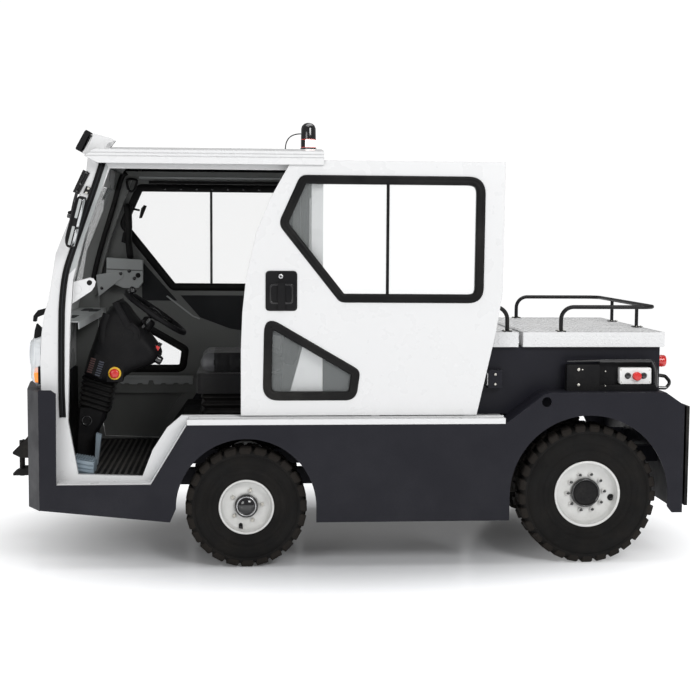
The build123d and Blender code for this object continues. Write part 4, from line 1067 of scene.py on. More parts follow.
pod = Shape()
arch = smooth_line(line_at(323, [(688, 1196), (712, 1120), (708, 1040), (668, 985), (600, 962), (520, 975)]))
ribbon(pod, arch, [(-0.024, -0.012), (-0.013, 0.0035), (0, 0.007), (0.013, 0.0035), (0.024, -0.012)],
       "plastic")
cluster = from_front(588, 1092, 322)
pod.lathe([(0, 0.064), (0.0070, 0.062), (0.0080, 0.056), (0.0045, 0.052), (0.0045, 0.030), (0.0085, 0.027),
           (0.0085, 0)], cluster, LEFT, "plastic", 48)
plate(pod, [(606, 945), (702, 945), (694, 856), (616, 856)], 250, 330, "plastic")
plate(pod, [(637, 1262), (664, 1250), (600, 1128), (573, 1142)], 30, 334, "plastic")
plate(pod, [(786, 907), (750, 999), (687, 971), (723, 870)], 318, 331.5, "rubber")
fuses = 7
for top, low_end, key in (((757, 978), (781, 902), "fuse_red"), ((716, 962), (742, 886), "fuse_blue")):
    for i in range(fuses):
        t = (i + 0.5) / fuses
        at = from_front(top[0] + (low_end[0] - top[0]) * t, top[1] + (low_end[1] - top[1]) * t, 331.5)
        pod.block(at - Vector((0.013, 0.002, 0.0036)), at + Vector((0.013, 0.003, 0.0036)),
                  key, Matrix.Rotation(math.radians(-17), 3, "Y"))
pod.lathe([(0, 0.070), (0.010, 0.068), (0.013, 0.050), (0.010, 0.030), (0.013, 0.020), (0.013, 0)],
          from_front(600, 1085, 44), (0, -1, 0), "gloss", 40)
screen = from_front(512, 1136, driver_y / MM)
slope = Matrix.Rotation(math.radians(-40), 3, "Y")
pod.block(screen - Vector((0.0060, 0.098, 0.045)), screen + Vector((0.0045, 0.098, 0.045)), "gloss", slope)
pod.block(screen - Vector((0.0075, 0.052, 0.034)), screen + Vector((0.0050, 0.052, 0.034)), "dial", slope)
switches = 5
for i in range(switches):
    at = from_front(446, 1022, driver_y / MM - 92 + i * 46)
    pod.block(at - Vector((0.010, 0.014, 0.011)), at + Vector((0.010, 0.014, 0.011)),
              "red" if i == switches - 1 else "gloss", Matrix.Rotation(math.radians(-28), 3, "Y"))
end_cap = from_front(432, 962, 300)
pod.lathe([(-0.020, 0.022), (0, 0.022), (0.010, 0.019), (0.012, 0.010), (0.012, 0)], end_cap,
          (-0.86, 0.0, -0.5), "gloss", 28)
pod.place("dash_fittings", "body", "black_plastic", bevel=0.0012)

stop = Shape()
spot = from_front(654, 900, 330)
stop.lathe([(-0.002, 0), (-0.002, 0.032), (0.0035, 0.032), (0.0045, 0.0305), (0.0045, 0)], spot, LEFT,
           "yellow", 40)
stop.lathe([(0.004, 0.012), (0.012, 0.012), (0.0135, 0.0235), (0.0200, 0.0240), (0.0240, 0.021),
            (0.0258, 0.012), (0.0262, 0)], spot, LEFT, "red", 40)
stop.place("dash_stop_button", "body", "black_plastic")


def fold_rows(center_line, halves, depth, folds, corner):
    """Rows of rounded oblong rings, in and out, as on a rubber bellows.

    The line gives (centre, the way along the long side, the way along the other side).
    """
    rows = []
    steps = folds * 4
    for i in range(steps + 1):
        t = i / steps
        at, along, across = center_line(t)
        wave = 0.5 - 0.5 * math.cos(2 * math.pi * folds * t)
        half_a, half_b = (h - depth * (1 - wave) for h in halves(t))
        row = []
        for sa, sb in ((1, 1), (-1, 1), (-1, -1), (1, -1)):
            turn = [(0, 1), (0.38, 0.92), (0.71, 0.71), (0.92, 0.38), (1, 0)]
            if sa * sb > 0:
                turn = turn[::-1]
            for ca, cb in turn:
                row.append(at + along * (sa * (half_a - corner + corner * ca))
                           + across * (sb * (half_b - corner + corner * cb)))
        rows.append(row)
    return rows


boot = Shape()
boot_way = Vector((0.954, 0, 0.300))
boot_top, boot_low = from_front(741, 862, 192), from_front(766, 712, 192)
boot.grid(fold_rows(lambda t: (boot_top.lerp(boot_low, t), boot_way, Vector(LEFT)),
                    lambda t: (0.088 - 0.008 * t, 0.106 - 0.006 * t), 0.012, 6, 0.022),
          "rubber", closed_cols=True, caps=True)
column_rows = []
for x_low, x_high, z, half in ((700, 842, 722, 92), (716, 850, 650, 84), (752, 856, 590, 78),
                               (762, 862, 500, 76), (762, 864, 431, 76)):
    column_rows.append([from_front(x, z, 192 + y) for x, y in
                        ((x_low, -half + 16), (x_low + 16, -half), (x_high - 12, -half), (x_high, -half + 12),
                         (x_high, half - 12), (x_high - 12, half), (x_low + 16, half), (x_low, half - 16))])
boot.grid(column_rows, "plastic", closed_cols=True, caps=True, smooth=False)
hatch = from_front(800, 655, 277)
boot.lathe([(-0.012, 0.026), (0.004, 0.026), (0.004, 0.021), (-0.002, 0.019), (-0.002, 0)], hatch,
           LEFT, "gloss", 24)
boot.place("column_boot", "body", "rubber", bevel=0.002)
stalks = Shape()
for sign, rise_z in ((1, 0.030), (-1, 0.024)):
    base_at = hub - axis_up * 0.075 + Vector((0, sign * 0.022, 0))
    tip = base_at + Vector((0.005, sign * 0.150, rise_z))
    stalks.tube([base_at, base_at + Vector((0, sign * 0.08, 0.006)),
                 tip - Vector((0, sign * 0.04, 0.002)), tip],
                0.0055, "plastic", 12)
    stalks.lathe([(-0.030, 0), (-0.030, 0.0065), (-0.020, 0.0085), (0.006, 0.0085), (0.012, 0.005),
                  (0.012, 0)], tip, (0, sign, 0.16), "plastic", 16)
stalks.lathe([(-0.24, 0.024), (-0.24, 0.030), (-0.060, 0.036), (0.050, 0.033), (0.058, 0.027), (0.058, 0)],
             hub - axis_up * 0.100, axis_up, "plastic", 28)
stalks.place("column_stalks", "body", "black_plastic")

# --- pedals and floor ---------------------------------------------------------
treadle = Shape()
plate(treadle, [(836, 513), (731, 495), (735, 437), (813, 444)], 440, 584, "blue_grey")
for z_a, z_b in ((508, 494), (486, 474), (466, 456)):
    plate(treadle, [(828, z_a + 3), (734, z_a - 13), (734, z_b - 15), (824, z_b)], 584, 590, "blue_grey")
for i in range(8):
    x = 736 + i * 12.5
    z = 496 + (x - 731) * 0.171
    plate(treadle, [(x, z), (x + 6, z + 1), (x + 6, z + 6), (x, z + 5)], 446, 578, "blue_grey")
plate(treadle, [(748, 600), (722, 590), (742, 440), (757, 440)], 295, 345, "blue_grey")
for i in range(5):
    z = 500 + i * 18
    plate(treadle, [(741 - i * 2.4, z), (738 - i * 2.4, z), (736 - i * 2.4, z + 9), (740 - i * 2.4, z + 9)],
          299, 341, "rubber")
treadle.place("rubbered_pedals", "body", "pedal_rubber", bevel=0.0015, replaces=("pedals",))

rib = Shape()
rib.block((-0.0065, -0.55, -0.001), (0.0065, 0.55, 0.0045), "mat_rib")
rib_piece = source_piece(rib, "mat_rib", 0.0015)
ribs = repeat(row_of, "mat_ribs", rib_piece, "mat_rib", Count=11, Start=from_front(496, 430),
              Step=(0.030, 0, 0))
drop(rib_piece)
join("floor_mat_ribs", [ribs], "body")

# --- seat ---------------------------------------------------------------------
seat_low, seat_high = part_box("seat_cushion")
spring = Shape()
base_low, base_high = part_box("seat_base")
spring.block((base_low.x, base_low.y, base_low.z), (base_high.x, base_high.y, base_low.z + 0.034), "plastic")
bellows_low = Vector(((base_low.x + base_high.x) / 2, driver_y, base_low.z + 0.030))
spring.grid(fold_rows(lambda t: (bellows_low + Vector((0, 0, 0.115 * t)), Vector((1, 0, 0)), Vector(LEFT)),
                      lambda t: (0.198, 0.186), 0.020, 3, 0.03), "rubber", closed_cols=True, caps=True)
pan = panel(base_low.x, base_high.x + 0.006, base_low.y, base_high.y, 0.04)
spring.prism(pan, "z", base_low.z + 0.146, base_high.z - 0.001, "vinyl")
spring.place("seat_suspension", "body", "black_plastic", bevel=0.006, segments=3, replaces=("seat_base",))


most_swell = 0.024              # how far the cover may blow out
crown = 0.010                   # how much higher the middle of a cushion stands
seam_width, seam_depth = 0.0045, 0.006
cloth_frames = 20


def cushion(name, node, low, high, tilt_back, pull, swell, bands):
    """A stuffed cushion: a panel blown up by cloth pressure, with its seams drawn in afterwards.

    The sides are pulled in by a share of the size, and each band gives an axis and a seam's place on it.
    """
    size = high - low
    mid = (low + high) / 2
    mesh = bmesh.new()
    bmesh.ops.create_grid(mesh, x_segments=1, y_segments=1, size=0.5)
    bmesh.ops.extrude_face_region(mesh, geom=mesh.faces[:])
    mesh.verts.ensure_lookup_table()
    for i, vert in enumerate(mesh.verts):
        vert.co.z = 0.5 if i >= 4 else -0.5
    bmesh.ops.recalc_face_normals(mesh, faces=mesh.faces)
    for vert in mesh.verts:
        vert.co = Vector((vert.co.x * (size.x - 2 * swell), vert.co.y * (size.y - 2 * swell),
                          vert.co.z * (size.z - 2 * swell)))
    obj = new_object(name, mesh)
    edge = obj.modifiers.new("edge", "BEVEL")
    edge.width = min(size) * 0.30
    edge.segments = 4
    fine = obj.modifiers.new("fine", "REMESH")
    fine.mode = "VOXEL"
    fine.voxel_size = 0.006
    bake(obj)
    rest = [v.co.copy() for v in obj.data.vertices]
    cloth = obj.modifiers.new("stuffing", "CLOTH")
    cloth.settings.quality = 4
    cloth.settings.tension_stiffness = cloth.settings.compression_stiffness = 30
    cloth.settings.use_pressure = True
    cloth.settings.uniform_pressure_force = 4
    cloth.settings.effector_weights.gravity = 0
    for frame_number in range(cloth_frames):
        scene.frame_set(frame_number + 1)
    bake(obj)
    scene.frame_set(1)
    for vert, start in zip(obj.data.vertices, rest):
        move = vert.co - start
        if move.length > most_swell:
            vert.co = start + move.normalized() * most_swell
    half = size / 2
    for vert in obj.data.vertices:
        p = vert.co
        u, v = p.x / half.x, p.y / half.y
        if p.z > 0:
            p.z += crown * (1 - min(1, u * u)) * (1 - min(1, v * v))
        for along, place_at in bands:
            near = (p.x if along == "x" else p.y) - place_at
            groove = math.exp(-(near / seam_width) ** 2)
            outward = Vector((p.x * 0.2, p.y * 0.2, p.z)).normalized()
            p -= outward * seam_depth * groove
        p.x = max(-half.x, min(half.x, p.x * (1 - pull * (1 - v * v) * 0.5)))
        p.y = max(-half.y, min(half.y, p.y * (1 - pull * (1 - u * u) * 0.5)))
        p.z = max(-half.z, min(half.z, p.z))
    obj.data.transform(Matrix.Translation(mid) @ Matrix.Rotation(tilt_back, 4, "Y"))
    smooth_surface(obj, 1)
    for key in ("vinyl", "vinyl_light"):
        obj.data.materials.append(m[key])
    for face in obj.data.polygons:
        face.use_smooth = True
    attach(obj, "body")
    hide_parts(node)
    return obj


pad = cushion("seat_pad", "seat_cushion", seat_low + Vector((0, 0, 0.001)), seat_high, 0.0, 0.035, 0.014,
              [("x", 0.135), ("x", -0.075), ("x", -0.145), ("x", -0.005), ("x", 0.065)])
# painted highlight: the cushion's front band takes the lighter grey vinyl
for face in pad.data.polygons:
    if face.center.x > (seat_low.x + seat_high.x) / 2 + 0.140:
        face.material_index = 1
back_low, back_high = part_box("seat_back")
# the back's box before it leans
upright_low, upright_high = Vector((0.2285, back_low.y, 0.915)), Vector((0.3140, back_high.y, 1.437))
cushion("seat_back_pad", "seat_back", upright_low, upright_high, math.radians(-8.5), 0.030, 0.014,
        [("y", 0.13), ("y", -0.13)])

# --- pillar and windscreen seals ----------------------------------------------
seal_front = [(686, 1928), (723, 1814), (776, 1665), (828, 1517), (865, 1401), (881, 1267), (885, 1170),
              (888, 1025), (888, 879), (884, 722)]
seal_rear = [(657, 1928), (695, 1814), (747, 1665), (800, 1517), (834, 1401), (852, 1267), (857, 1122),
             (859, 976), (860, 830), (856, 722)]
inner_edge = [(646, 1904), (680, 1790), (727, 1660), (763, 1563), (800, 1436), (814, 1378), (825, 1230),
              (832, 1142), (840, 900), (846, 722)]
seal_mid = [((a + c) / 2, (b + d) / 2) for (a, b), (c, d) in zip(seal_front, seal_rear)]
for hand, sign in SIDES:
    seal = Shape()
    line = smooth_line(line_at(640, seal_mid), 4)
    lip = [(-0.0055, -0.001), (-0.0055, 0.005), (-0.0035, 0.0085), (0.0035, 0.0085), (0.0055, 0.005),
           (0.0055, -0.001)]
    for shift in (-0.0095, 0.0095):
        ribbon(seal, line, [(shift + across, out) for across, out in lip], "rubber")
    # painted shade: a near-black strip in the gap between the two rubber lips
    ribbon(seal, line, [(-0.006, -0.001), (-0.006, 0.004), (0.006, 0.004), (0.006, -0.001)], "liner")
    # a pale grey strip between the seal and the pillar's inner edge: the white pillar face in painted half
    # shade
    seal.grid([line_at(640.8, seal_rear[:5]), line_at(640.8, inner_edge[:5])], "inner_pale", smooth=False)
    # painted shade: a near-black strip along the pillar's inner edge
    seal.grid([line_at(628, inner_edge), line_at(640.8, inner_edge)], "liner", smooth=False)
    seal.place(f"pillar_seal_{hand}", "body", "rubber", mirror=sign < 0)
    edge = Shape()
    screen_line = smooth_line(line_at(596, [(668, 1936), (697, 1905), (744, 1744), (808, 1538), (845, 1400),
                                            (862, 1310)]), 4)
    ribbon(edge, screen_line,
           [(-0.014, 0.002), (-0.014, 0.014), (0.008, 0.014), (0.014, 0.008), (0.014, 0.002)], "rubber")
    edge.place(f"windscreen_seal_{hand}", "body", "rubber", mirror=sign < 0)

# --- cab inside ---------------------------------------------------------------
# the left door stands open at rest, so its pieces lie that much further back
open_by = {"left": -door_travel, "right": 0}
for hand, sign in SIDES:
    shift = open_by[hand]
    recess = Shape()
    # painted shade: thin near-black plates in the recesses of the door's inner face, and a pale grey strip
    # for a half shaded edge
    for outline in ([(592, 1442), (590, 1216), (392, 1216)],
                    [(373, 1246), (-215, 1246), (-215, 1010), (92, 1056), (262, 1120)]):
        plate(recess, [(x + shift, z) for x, z in outline], -658.2, -655.8, "liner")
    plate(recess, [(455 + shift, 1240), (448 + shift, 1246), (300 + shift, 1130), (263 + shift, 1116),
                   (266 + shift, 1108), (306 + shift, 1124)], -658.2, -654, "inner_pale")
    recess.place(f"door_recess_{hand}", f"door_{hand}", "rubber", bevel=0.0006, mirror=sign > 0)

# the light box behind the far door post, with its bent plate and bolts; the white box is coloured pale grey
# as painted half shade, with a darker grey line across its face
fittings = Shape()
plate(fittings, [(780, 1462), (579, 1449), (579, 1320), (604, 1290), (690, 1290), (712, 1300), (783, 1330)],
      -611, -566, "inner_pale")
plate(fittings, [(782, 1400), (579, 1392), (579, 1386), (782, 1394)], -568, -563, "inner")
plate(fittings, [(838, 1364), (700, 1389), (684, 1372), (694, 1345), (826, 1242)], -566, -560, "inner_pale")
for x, z in ((655, 1386), (702, 1372), (626, 1345), (808, 1290)):
    fittings.lathe([(0, 0.010), (0.006, 0.0095), (0.008, 0.004), (0.008, 0)], from_front(x, z, -563), LEFT,
                   "gloss", 16)
fittings.lathe([(0, 0.014), (0.003, 0.014), (0.003, 0)], from_front(606, 1362, -566), LEFT, "rubber", 20)
fittings.place("far_mounting_box", "body", "white_paint", bevel=0.0025)

# the shelf under the windscreen in pale grey as painted half shade, with three oblong vents drawn as flat
# near-black plates: painted shade where the vent holes are
shelf = Shape()
plate(shelf, [(792, 1172), (940, 1172), (940, 1177), (792, 1177)], -611, 611, "inner_pale")
plate(shelf, [(792, 1177), (797, 1177), (797, 1140), (792, 1140)], -611, 611, "inner_pale")
for x, y in ((872, 240), (872, -400), (822, -330)):
    at = from_front(x, 0, y)
    shelf.prism(panel(at.x - 0.024, at.x + 0.024, at.y - 0.115, at.y + 0.115, 0.0235), "z", 1.1765, 1.1785,
                "liner")
shelf.place("defroster_shelf", "body", "dark_paint", bevel=0.0006)
near_arm = Shape()
plate(near_arm, [(842, 1249), (840, 1359), (738, 1386), (722, 1381), (713, 1365), (717, 1345), (732, 1323)],
      606, 611.5, "white")
near_arm.lathe([(0, 0.013), (0.0015, 0.013), (0.0015, 0)], from_front(742, 1361, 611), LEFT, "rubber", 24)
near_arm.place("near_bracket_plate", "body", "white_paint", bevel=0.001)

grab = Shape()
grab.tube([from_front(668, 1748, -612), from_front(660, 1736, -588), from_front(656, 1650, -584),
           from_front(658, 1560, -584), from_front(652, 1480, -588), from_front(652, 1466, -612)], 0.019,
          "rubber", 18)
plate(grab, [(684, 1752), (636, 1752), (636, 1718), (684, 1718)], -612, -592, "rubber")
plate(grab, [(690, 1600), (676, 1612), (676, 1540), (700, 1548)], -612, -590, "rubber")
grab.place("grab_handle", "body", "rubber", bevel=0.002)
loop = Shape()
loop.tube(line_at(-592, [(667, 1900), (664, 1896), (640, 1900), (612, 1893), (616, 1868), (628, 1838),
                         (646, 1832), (660, 1850), (667, 1890)]), 0.0065, "rubber", 12)
loop.place("belt_loop", "body", "rubber")
catch = Shape()
plate(catch, [(636, 1741), (600, 1733), (600, 1722), (636, 1728)], -655.6, -643, "rubber")
plate(catch, [(604, 1682), (588, 1684), (560, 1752), (576, 1758), (592, 1738)], -655.6, -642, "rubber")
catch.place("window_catch", "door_right", "rubber", bevel=0.002)

# the scalloped strip along the far sill, pale grey as painted half shade over a darker grey backing plate as
# painted shade behind the scallops
trim_strip = Shape()
scallops = [(303, 781), (713, 781), (714, 748)]
for x_mid, deep in ((678, 8), (602, 8), (540, 24), (470, 8), (400, 8), (340, 8)):
    scallops += [(x_mid + 18, 740), (x_mid + 10, 740 + deep), (x_mid - 10, 740 + deep), (x_mid - 18, 740)]
scallops += [(303, 740)]
plate(trim_strip, scallops, -611, -604, "inner_pale")
plate(trim_strip, [(714, 792), (714, 778), (300, 776), (300, 790)], -611, -600, "inner_pale")
plate(trim_strip, [(748, 776), (748, 690), (268, 690), (268, 776)], -611.4, -609, "inner")
trim_strip.place("sill_trim_strip", "body", "grey_floor", bevel=0.0015)
# the roof edge rail: a black strip, and a pale grey strip for the white rail in painted half shade
roof_rail = Shape()
roof_rail.block((cab_rear + 0.03, -0.611, 1.876), (front_axle + 0.545, -0.600, 1.892), "rubber")
roof_rail.block((cab_rear + 0.03, -0.611, 1.905), (front_axle + 0.60, -0.607, 1.916), "inner_pale")
for i in range(9):
    roof_rail.lathe([(0, 0.006), (0.003, 0.005), (0.003, 0)],
                    from_front(-250 + i * 88, 1848, -611.5), LEFT, "gloss", 12)
roof_rail.place("roof_edge_rail", "body", "rubber", bevel=0.001)

# --- step frame ---------------------------------------------------------------
# small studs down the sloping frame of the left step
punch = Shape()
step_top, step_foot = from_front(281, 693, 690), from_front(452, 394, 690)
down_step = (step_foot - step_top).normalized()
off_step = Vector((-down_step.z, 0, down_step.x))
for i in range(9):
    punch.lathe([(-0.001, 0.0055), (0.0014, 0.0055), (0.0014, 0)],
                step_top + down_step * (0.028 + i * 0.036) + off_step * 0.003, off_step, "rubber", 14)
punch.place("step_frame_studs", "body", "white_paint")

# --- door seals and handles ---------------------------------------------------
upper_window = [(615, 1876), (720, 1644), (425, 1273), (-266, 1271), (-270, 1875)]
lower_window = [(793, 804), (785, 1216), (325, 948), (345, 804)]
inner_y, outer_y = (corner.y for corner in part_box("door_left"))
# how far in from the window's edge, how far out
seal_profile = [(0.0, outer_y), (0.002, outer_y + 0.0050), (0.008, outer_y + 0.0085),
                (0.014, outer_y + 0.0070), (0.019, outer_y + 0.0060), (0.026, outer_y + 0.0085),
                (0.036, outer_y + 0.0070), (0.042, outer_y + 0.0010), (0.042, inner_y - 0.0010),
                (0.034, inner_y - 0.0040), (0.004, inner_y - 0.0040), (0.0, inner_y),
                (0.011, inner_y + 0.0002), (0.0119, inner_y + 0.010), (0.0119, outer_y - 0.010),
                (0.011, outer_y - 0.0002)]
for hand, sign in SIDES:
    shift = open_by[hand]
    seal = Shape()
    for outline, corners in ((upper_window, (48, 60, 50, 76, 86)), (lower_window, (76, 52, 44, 60))):
        line = [from_front(x + shift, z) for x, z in rounded(outline, corners, 8)]
        winding = sum(a.x * b.z - b.x * a.z for a, b in zip(line, line[1:] + line[:1]))
        turn = 1 if winding > 0 else -1
        ribbon(seal, line, [(w * -turn, y) for w, y in seal_profile], "rubber", closed=True)
    bar = from_front(198 + shift, 1575)
    seal.block((bar.x - 0.007, inner_y + 0.018, 1.300), (bar.x + 0.007, inner_y + 0.027, 1.850), "rubber")
    seal.place(f"door_seals_{hand}", f"door_{hand}", "rubber", mirror=sign < 0,
               replaces=(f"door_trim_{hand}",))
    latch = Shape()
    px, pz = 704 + shift, 1328
    for (x_low, x_high, z_low, z_high, radius), y_low, y_high in (((-75, 75, -95, 95, 20), -0.0005, 0.0045),
                                                                  ((-18, 18, -92, 40, 7), 0.004, 0.0135)):
        latch.prism(side_line(panel(px + x_low, px + x_high, pz + z_low, pz + z_high, radius)), "y",
                    outer_y + y_low, outer_y + y_high, "plastic")
    dish = panel(px - 56, px + 56, pz - 62, pz + 34, 18)
    hole = panel(px - 48, px + 48, pz - 54, pz + 26, 14)
    latch.grid([line_at((outer_y + y) / MM, outline) for outline, y in
                ((dish, 0.004), (dish, 0.0085), (hole, 0.0085), (hole, 0.0047))],
               "gloss", closed_cols=True, smooth=False)
    lock = from_front(px + 3, 1397)
    latch.lathe([(outer_y + 0.004, 0.0125), (outer_y + 0.0085, 0.0125), (outer_y + 0.0105, 0.0100),
                 (outer_y + 0.0105, 0.0060), (outer_y + 0.0085, 0.0058), (outer_y + 0.0085, 0)],
                lock, LEFT, "steel", 6)
    latch.lathe([(outer_y + 0.0085, 0.0058), (outer_y + 0.0092, 0.0050), (outer_y + 0.0092, 0)],
                lock, LEFT, "gloss", 16)
    latch.place(f"door_handle_{hand}", f"door_{hand}", "black_plastic", bevel=0.0009, mirror=sign < 0)
    edge_line = [(888, 745), (888, 1045), (881, 1226), (863, 1390), (814, 1604), (743, 1774), (662, 1917)]
    gasket = Shape()
    line = smooth_line([from_front(x + shift, z) for x, z in edge_line], 4)
    ribbon(gasket, line, [(0.003, inner_y - 0.0035), (0.003, outer_y - 0.006), (-0.0075, outer_y - 0.006),
                          (-0.0085, inner_y + 0.004), (-0.006, inner_y - 0.0035)], "rubber")
    gasket.place(f"door_edge_gasket_{hand}", f"door_{hand}", "rubber", mirror=sign < 0)

# --- front lamp fittings and wipers -------------------------------------------
front_trim = Shape()
upper_bracket = [(946, 1240), (987, 1229), (1008, 1203), (1011, 1176), (996, 1174), (993, 1194), (950, 1212)]
lower_bracket = [(960, 1132), (994, 1166), (1003, 1134), (1008, 1098), (1000, 1094), (966, 1108)]
side_lamp = [(982, 887), (1000, 889), (1004, 924), (1000, 958), (982, 960)]
lamp_foot = [(972, 880), (984, 880), (984, 966), (972, 966)]
for sign in (1, -1):
    for outline, y_low, y_high, key in ((upper_bracket, 560, 600, "rubber"),
                                        (lower_bracket, 560, 600, "rubber"),
                                        (side_lamp, 598, 636, "amber_lens"), (lamp_foot, 590, 639, "rubber")):
        plate(front_trim, outline, sign * y_low, sign * y_high, key)
front_trim.place("front_lamp_fittings", "body", "black_plastic", bevel=0.003)
wiper = Shape()
off_pane = Vector((0.012, 0, 0))
for y in (230, -330):
    root = from_front(950, 1240, y)
    tip = from_front(905, 1470, y - 90)
    wiper.tube([root, root.lerp(tip, 0.5) + off_pane, tip + off_pane / 2], 0.0045, "rubber", 10)
    low_end, high_end = from_front(925, 1330, y - 95), from_front(848, 1640, y - 85)
    wiper.tube([low_end + off_pane, low_end.lerp(high_end, 0.5) + off_pane, high_end + off_pane], 0.0055,
               "rubber", 8)
    wiper.lathe([(-0.012, 0.018), (0.012, 0.018), (0.016, 0.010), (0.016, 0)], root, (1, 0, 0.2),
                "rubber", 20)
wiper.place("windscreen_wipers", "body", "rubber")

# --- work lights --------------------------------------------------------------
light_shape = Shape()
for sign in (1, -1):
    plate(light_shape, [(746, 2077), (726, 2067), (772, 1974), (795, 1986)], sign * 545, sign * 655,
          "plastic")
    lamp_face = from_front(771, 2031, sign * 600)
    lamp_out, lamp_up = Vector((0.879, 0, 0.477)), Vector((-0.477, 0, 0.879))
    rows = [tilted(lamp_face, lamp_out, lamp_up, out, panel(-0.050 - grow, 0.050 + grow, -0.047 - grow,
                                                            0.047 + grow, 0.010))
            for grow, out in ((0.0, -0.001), (0.0, 0.003), (-0.006, 0.004), (-0.008, 0.0015))]
    light_shape.grid(rows, "plastic", closed_cols=True, smooth=False)
    lamp_pane = panel(-0.0425, 0.0425, -0.0395, 0.0395, 0.008)
    light_shape.grid([tilted(lamp_face, lamp_out, lamp_up, out, lamp_pane) for out in (-0.0008, 0.0022)],
                     "white_lens", closed_cols=True, caps=True, smooth=False)
    for k in range(6):
        z = 1990 + k * 13.5
        fin = [(771, z), (768, z - 1.6), (756, z - 8), (760, z - 6)]
        plate(light_shape, [(x - k * 7.1, z) for x, z in fin], sign * 549, sign * 651, "plastic")
    plate(light_shape, [(722, 2046), (668, 1978), (688, 1930), (766, 1970)], sign * 560, sign * 640, "white")
    plate(light_shape, [(711, 2061), (636, 2041), (608, 2026), (640, 2020), (676, 1972), (704, 1924),
                        (757, 1957)], sign * 641, sign * 645, "white")
light_shape.place("lamp_boxes", "body", "black_plastic", bevel=0.0015, replaces=("work_lights",))

# --- mirrors ------------------------------------------------------------------
mirror_face = Vector((front_axle + 0.768, 0.775, 1.643))
mirror_out, mirror_up = Vector((0.968, 0, 0.251)), Vector((-0.251, 0, 0.968))
for hand, sign in SIDES:
    head = Shape()
    rows = [tilted(mirror_face, mirror_out, mirror_up, depth,
                   panel(shrink - 0.075, 0.075 - shrink, shrink - 0.121, 0.121 - shrink,
                         max(0.030 - shrink * 0.5, 0.008)))
            for depth, shrink in ((0.0, 0.006), (0.002, 0.0), (0.018, 0.0), (0.026, 0.005), (0.034, 0.018),
                                  (0.040, 0.036))]
    head.grid(rows, "plastic", closed_cols=True, caps=True)
    for low_b, high_b in ((-0.112, -0.030), (-0.022, 0.112)):
        glass = panel(-0.066, 0.066, low_b, high_b, 0.020)
        head.grid([tilted(mirror_face, mirror_out, mirror_up, depth, glass) for depth in (0.001, -0.0012)],
                  "mirror", closed_cols=True, caps=True)
    # painted highlight: two paper-thin pale grey bands along the housing's outer rim
    for low_b, high_b in ((-0.108, -0.020), (0.018, 0.108)):
        band = panel(0.004, 0.017, low_b, high_b, 0.004)
        head.grid([[Vector((mirror_face.x, y, mirror_face.z)) + mirror_out * d + mirror_up * b
                    for d, b in band] for y in (0.8495, 0.8502)],
                  "inner_pale", closed_cols=True, caps=True, smooth=False)
    head.place(f"mirror_head_{hand}", "body", "black_plastic", bevel=0.001, mirror=sign < 0,
               replaces=("mirrors",))
    arm = Shape()
    plate(arm, [(762, 1892), (730, 1876), (782, 1776), (811, 1788)], 640, 646, "gloss")
    plate(arm, [(752, 1876), (744, 1872), (784, 1794), (792, 1798)], 646, 647.5, "rubber")
    plate(arm, [(748, 1816), (724, 1806), (736, 1776), (762, 1784)], 640, 649, "gloss")
    arm.tube([from_front(790, 1790, 650), from_front(800, 1740, 680), from_front(806, 1690, 715),
              from_front(808, 1652, 740)], 0.0075, "gloss", 14)
    arm.lathe([(-0.024, 0.013), (0.024, 0.013), (0.027, 0.009), (0.027, 0)], from_front(806, 1672, 725),
              (0.3, 0, 1), "rubber", 20)
    arm.rod(from_front(790, 1668, 735), from_front(826, 1676, 735), 0.010, "gloss", 16, chamfer=0.002)
    for x, z in ((738, 1804), (748, 1784)):
        arm.lathe([(0, 0.0065), (0.0035, 0.0060), (0.0045, 0.003), (0.0045, 0)], from_front(x, z, 649), LEFT,
                  "zinc", 6)
    for x, z in ((745, 1878), (772, 1824)):
        arm.lathe([(0, 0.0075), (0.005, 0.007), (0.005, 0)], from_front(x, z, 646), LEFT, "gloss", 6)
    arm.place(f"mirror_arm_{hand}", "body", "black_plastic", bevel=0.0008, mirror=sign < 0)

# --- beacon -------------------------------------------------------------------
lamp_low, lamp_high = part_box("beacon")
lamp_at = Vector(((lamp_low.x + lamp_high.x) / 2, 0, lamp_low.z))
tall = lamp_high.z - lamp_low.z
dome = Shape()
dome.lathe([(0, 0), (0, 0.0445), (0.010, 0.0445), (0.016, 0.041), (0.018, 0.0385)], lamp_at, UP, "gloss", 48)
dome.lathe([(0.018, 0.0385), (0.022, 0.0375), (0.060, 0.0370), (0.062, 0.0385)], lamp_at, UP,
           "beacon_glow", 48)
dome.lathe([(0.062, 0.0388), (0.070, 0.0390), (0.118, 0.0380), (0.132, 0.0330), (0.142, 0.0225),
            (tall - 0.001, 0.010), (tall - 0.0005, 0)], lamp_at, UP, "gloss", 48)
for z in (0.020, 0.060):
    dome.lathe([(z - 0.0022, 0.0372), (z - 0.0015, 0.0395), (z + 0.0015, 0.0395), (z + 0.0022, 0.0372)],
               lamp_at, UP, "red_lens", 48)
for a in (1.9, 2.45, 3.0):
    post = lamp_at + Vector((0.036 * math.cos(a), 0.036 * math.sin(a), 0.022))
    dome.rod(post, post + Vector((0, 0, 0.038)), 0.0018, "red_lens", 8)
shade_turns = [math.radians(-95 + 158 * k / 20) for k in range(21)]
dome.grid([[lamp_at + Vector((0.0392 * math.cos(a), 0.0392 * math.sin(a), z)) for a in shade_turns]
           for z in (0.018, 0.062)], "gloss")
foot_at = Vector((lamp_high.x - 0.012, 0, lamp_low.z + 0.001))
dome.block(foot_at + Vector((0, -0.016, 0)), foot_at + Vector((0.026, 0.016, 0.010)), "gloss")
dome.place("rotating_beacon", "body", "beacon_cap", bevel=0.0006, replaces=("beacon",))

# --- rear controls ------------------------------------------------------------
def rear_line(points):
    """Millimetre points counted from the rear axle, as (x, z) pairs in the model."""
    return [(rear_axle + x * MM, z * MM) for x, z in points]


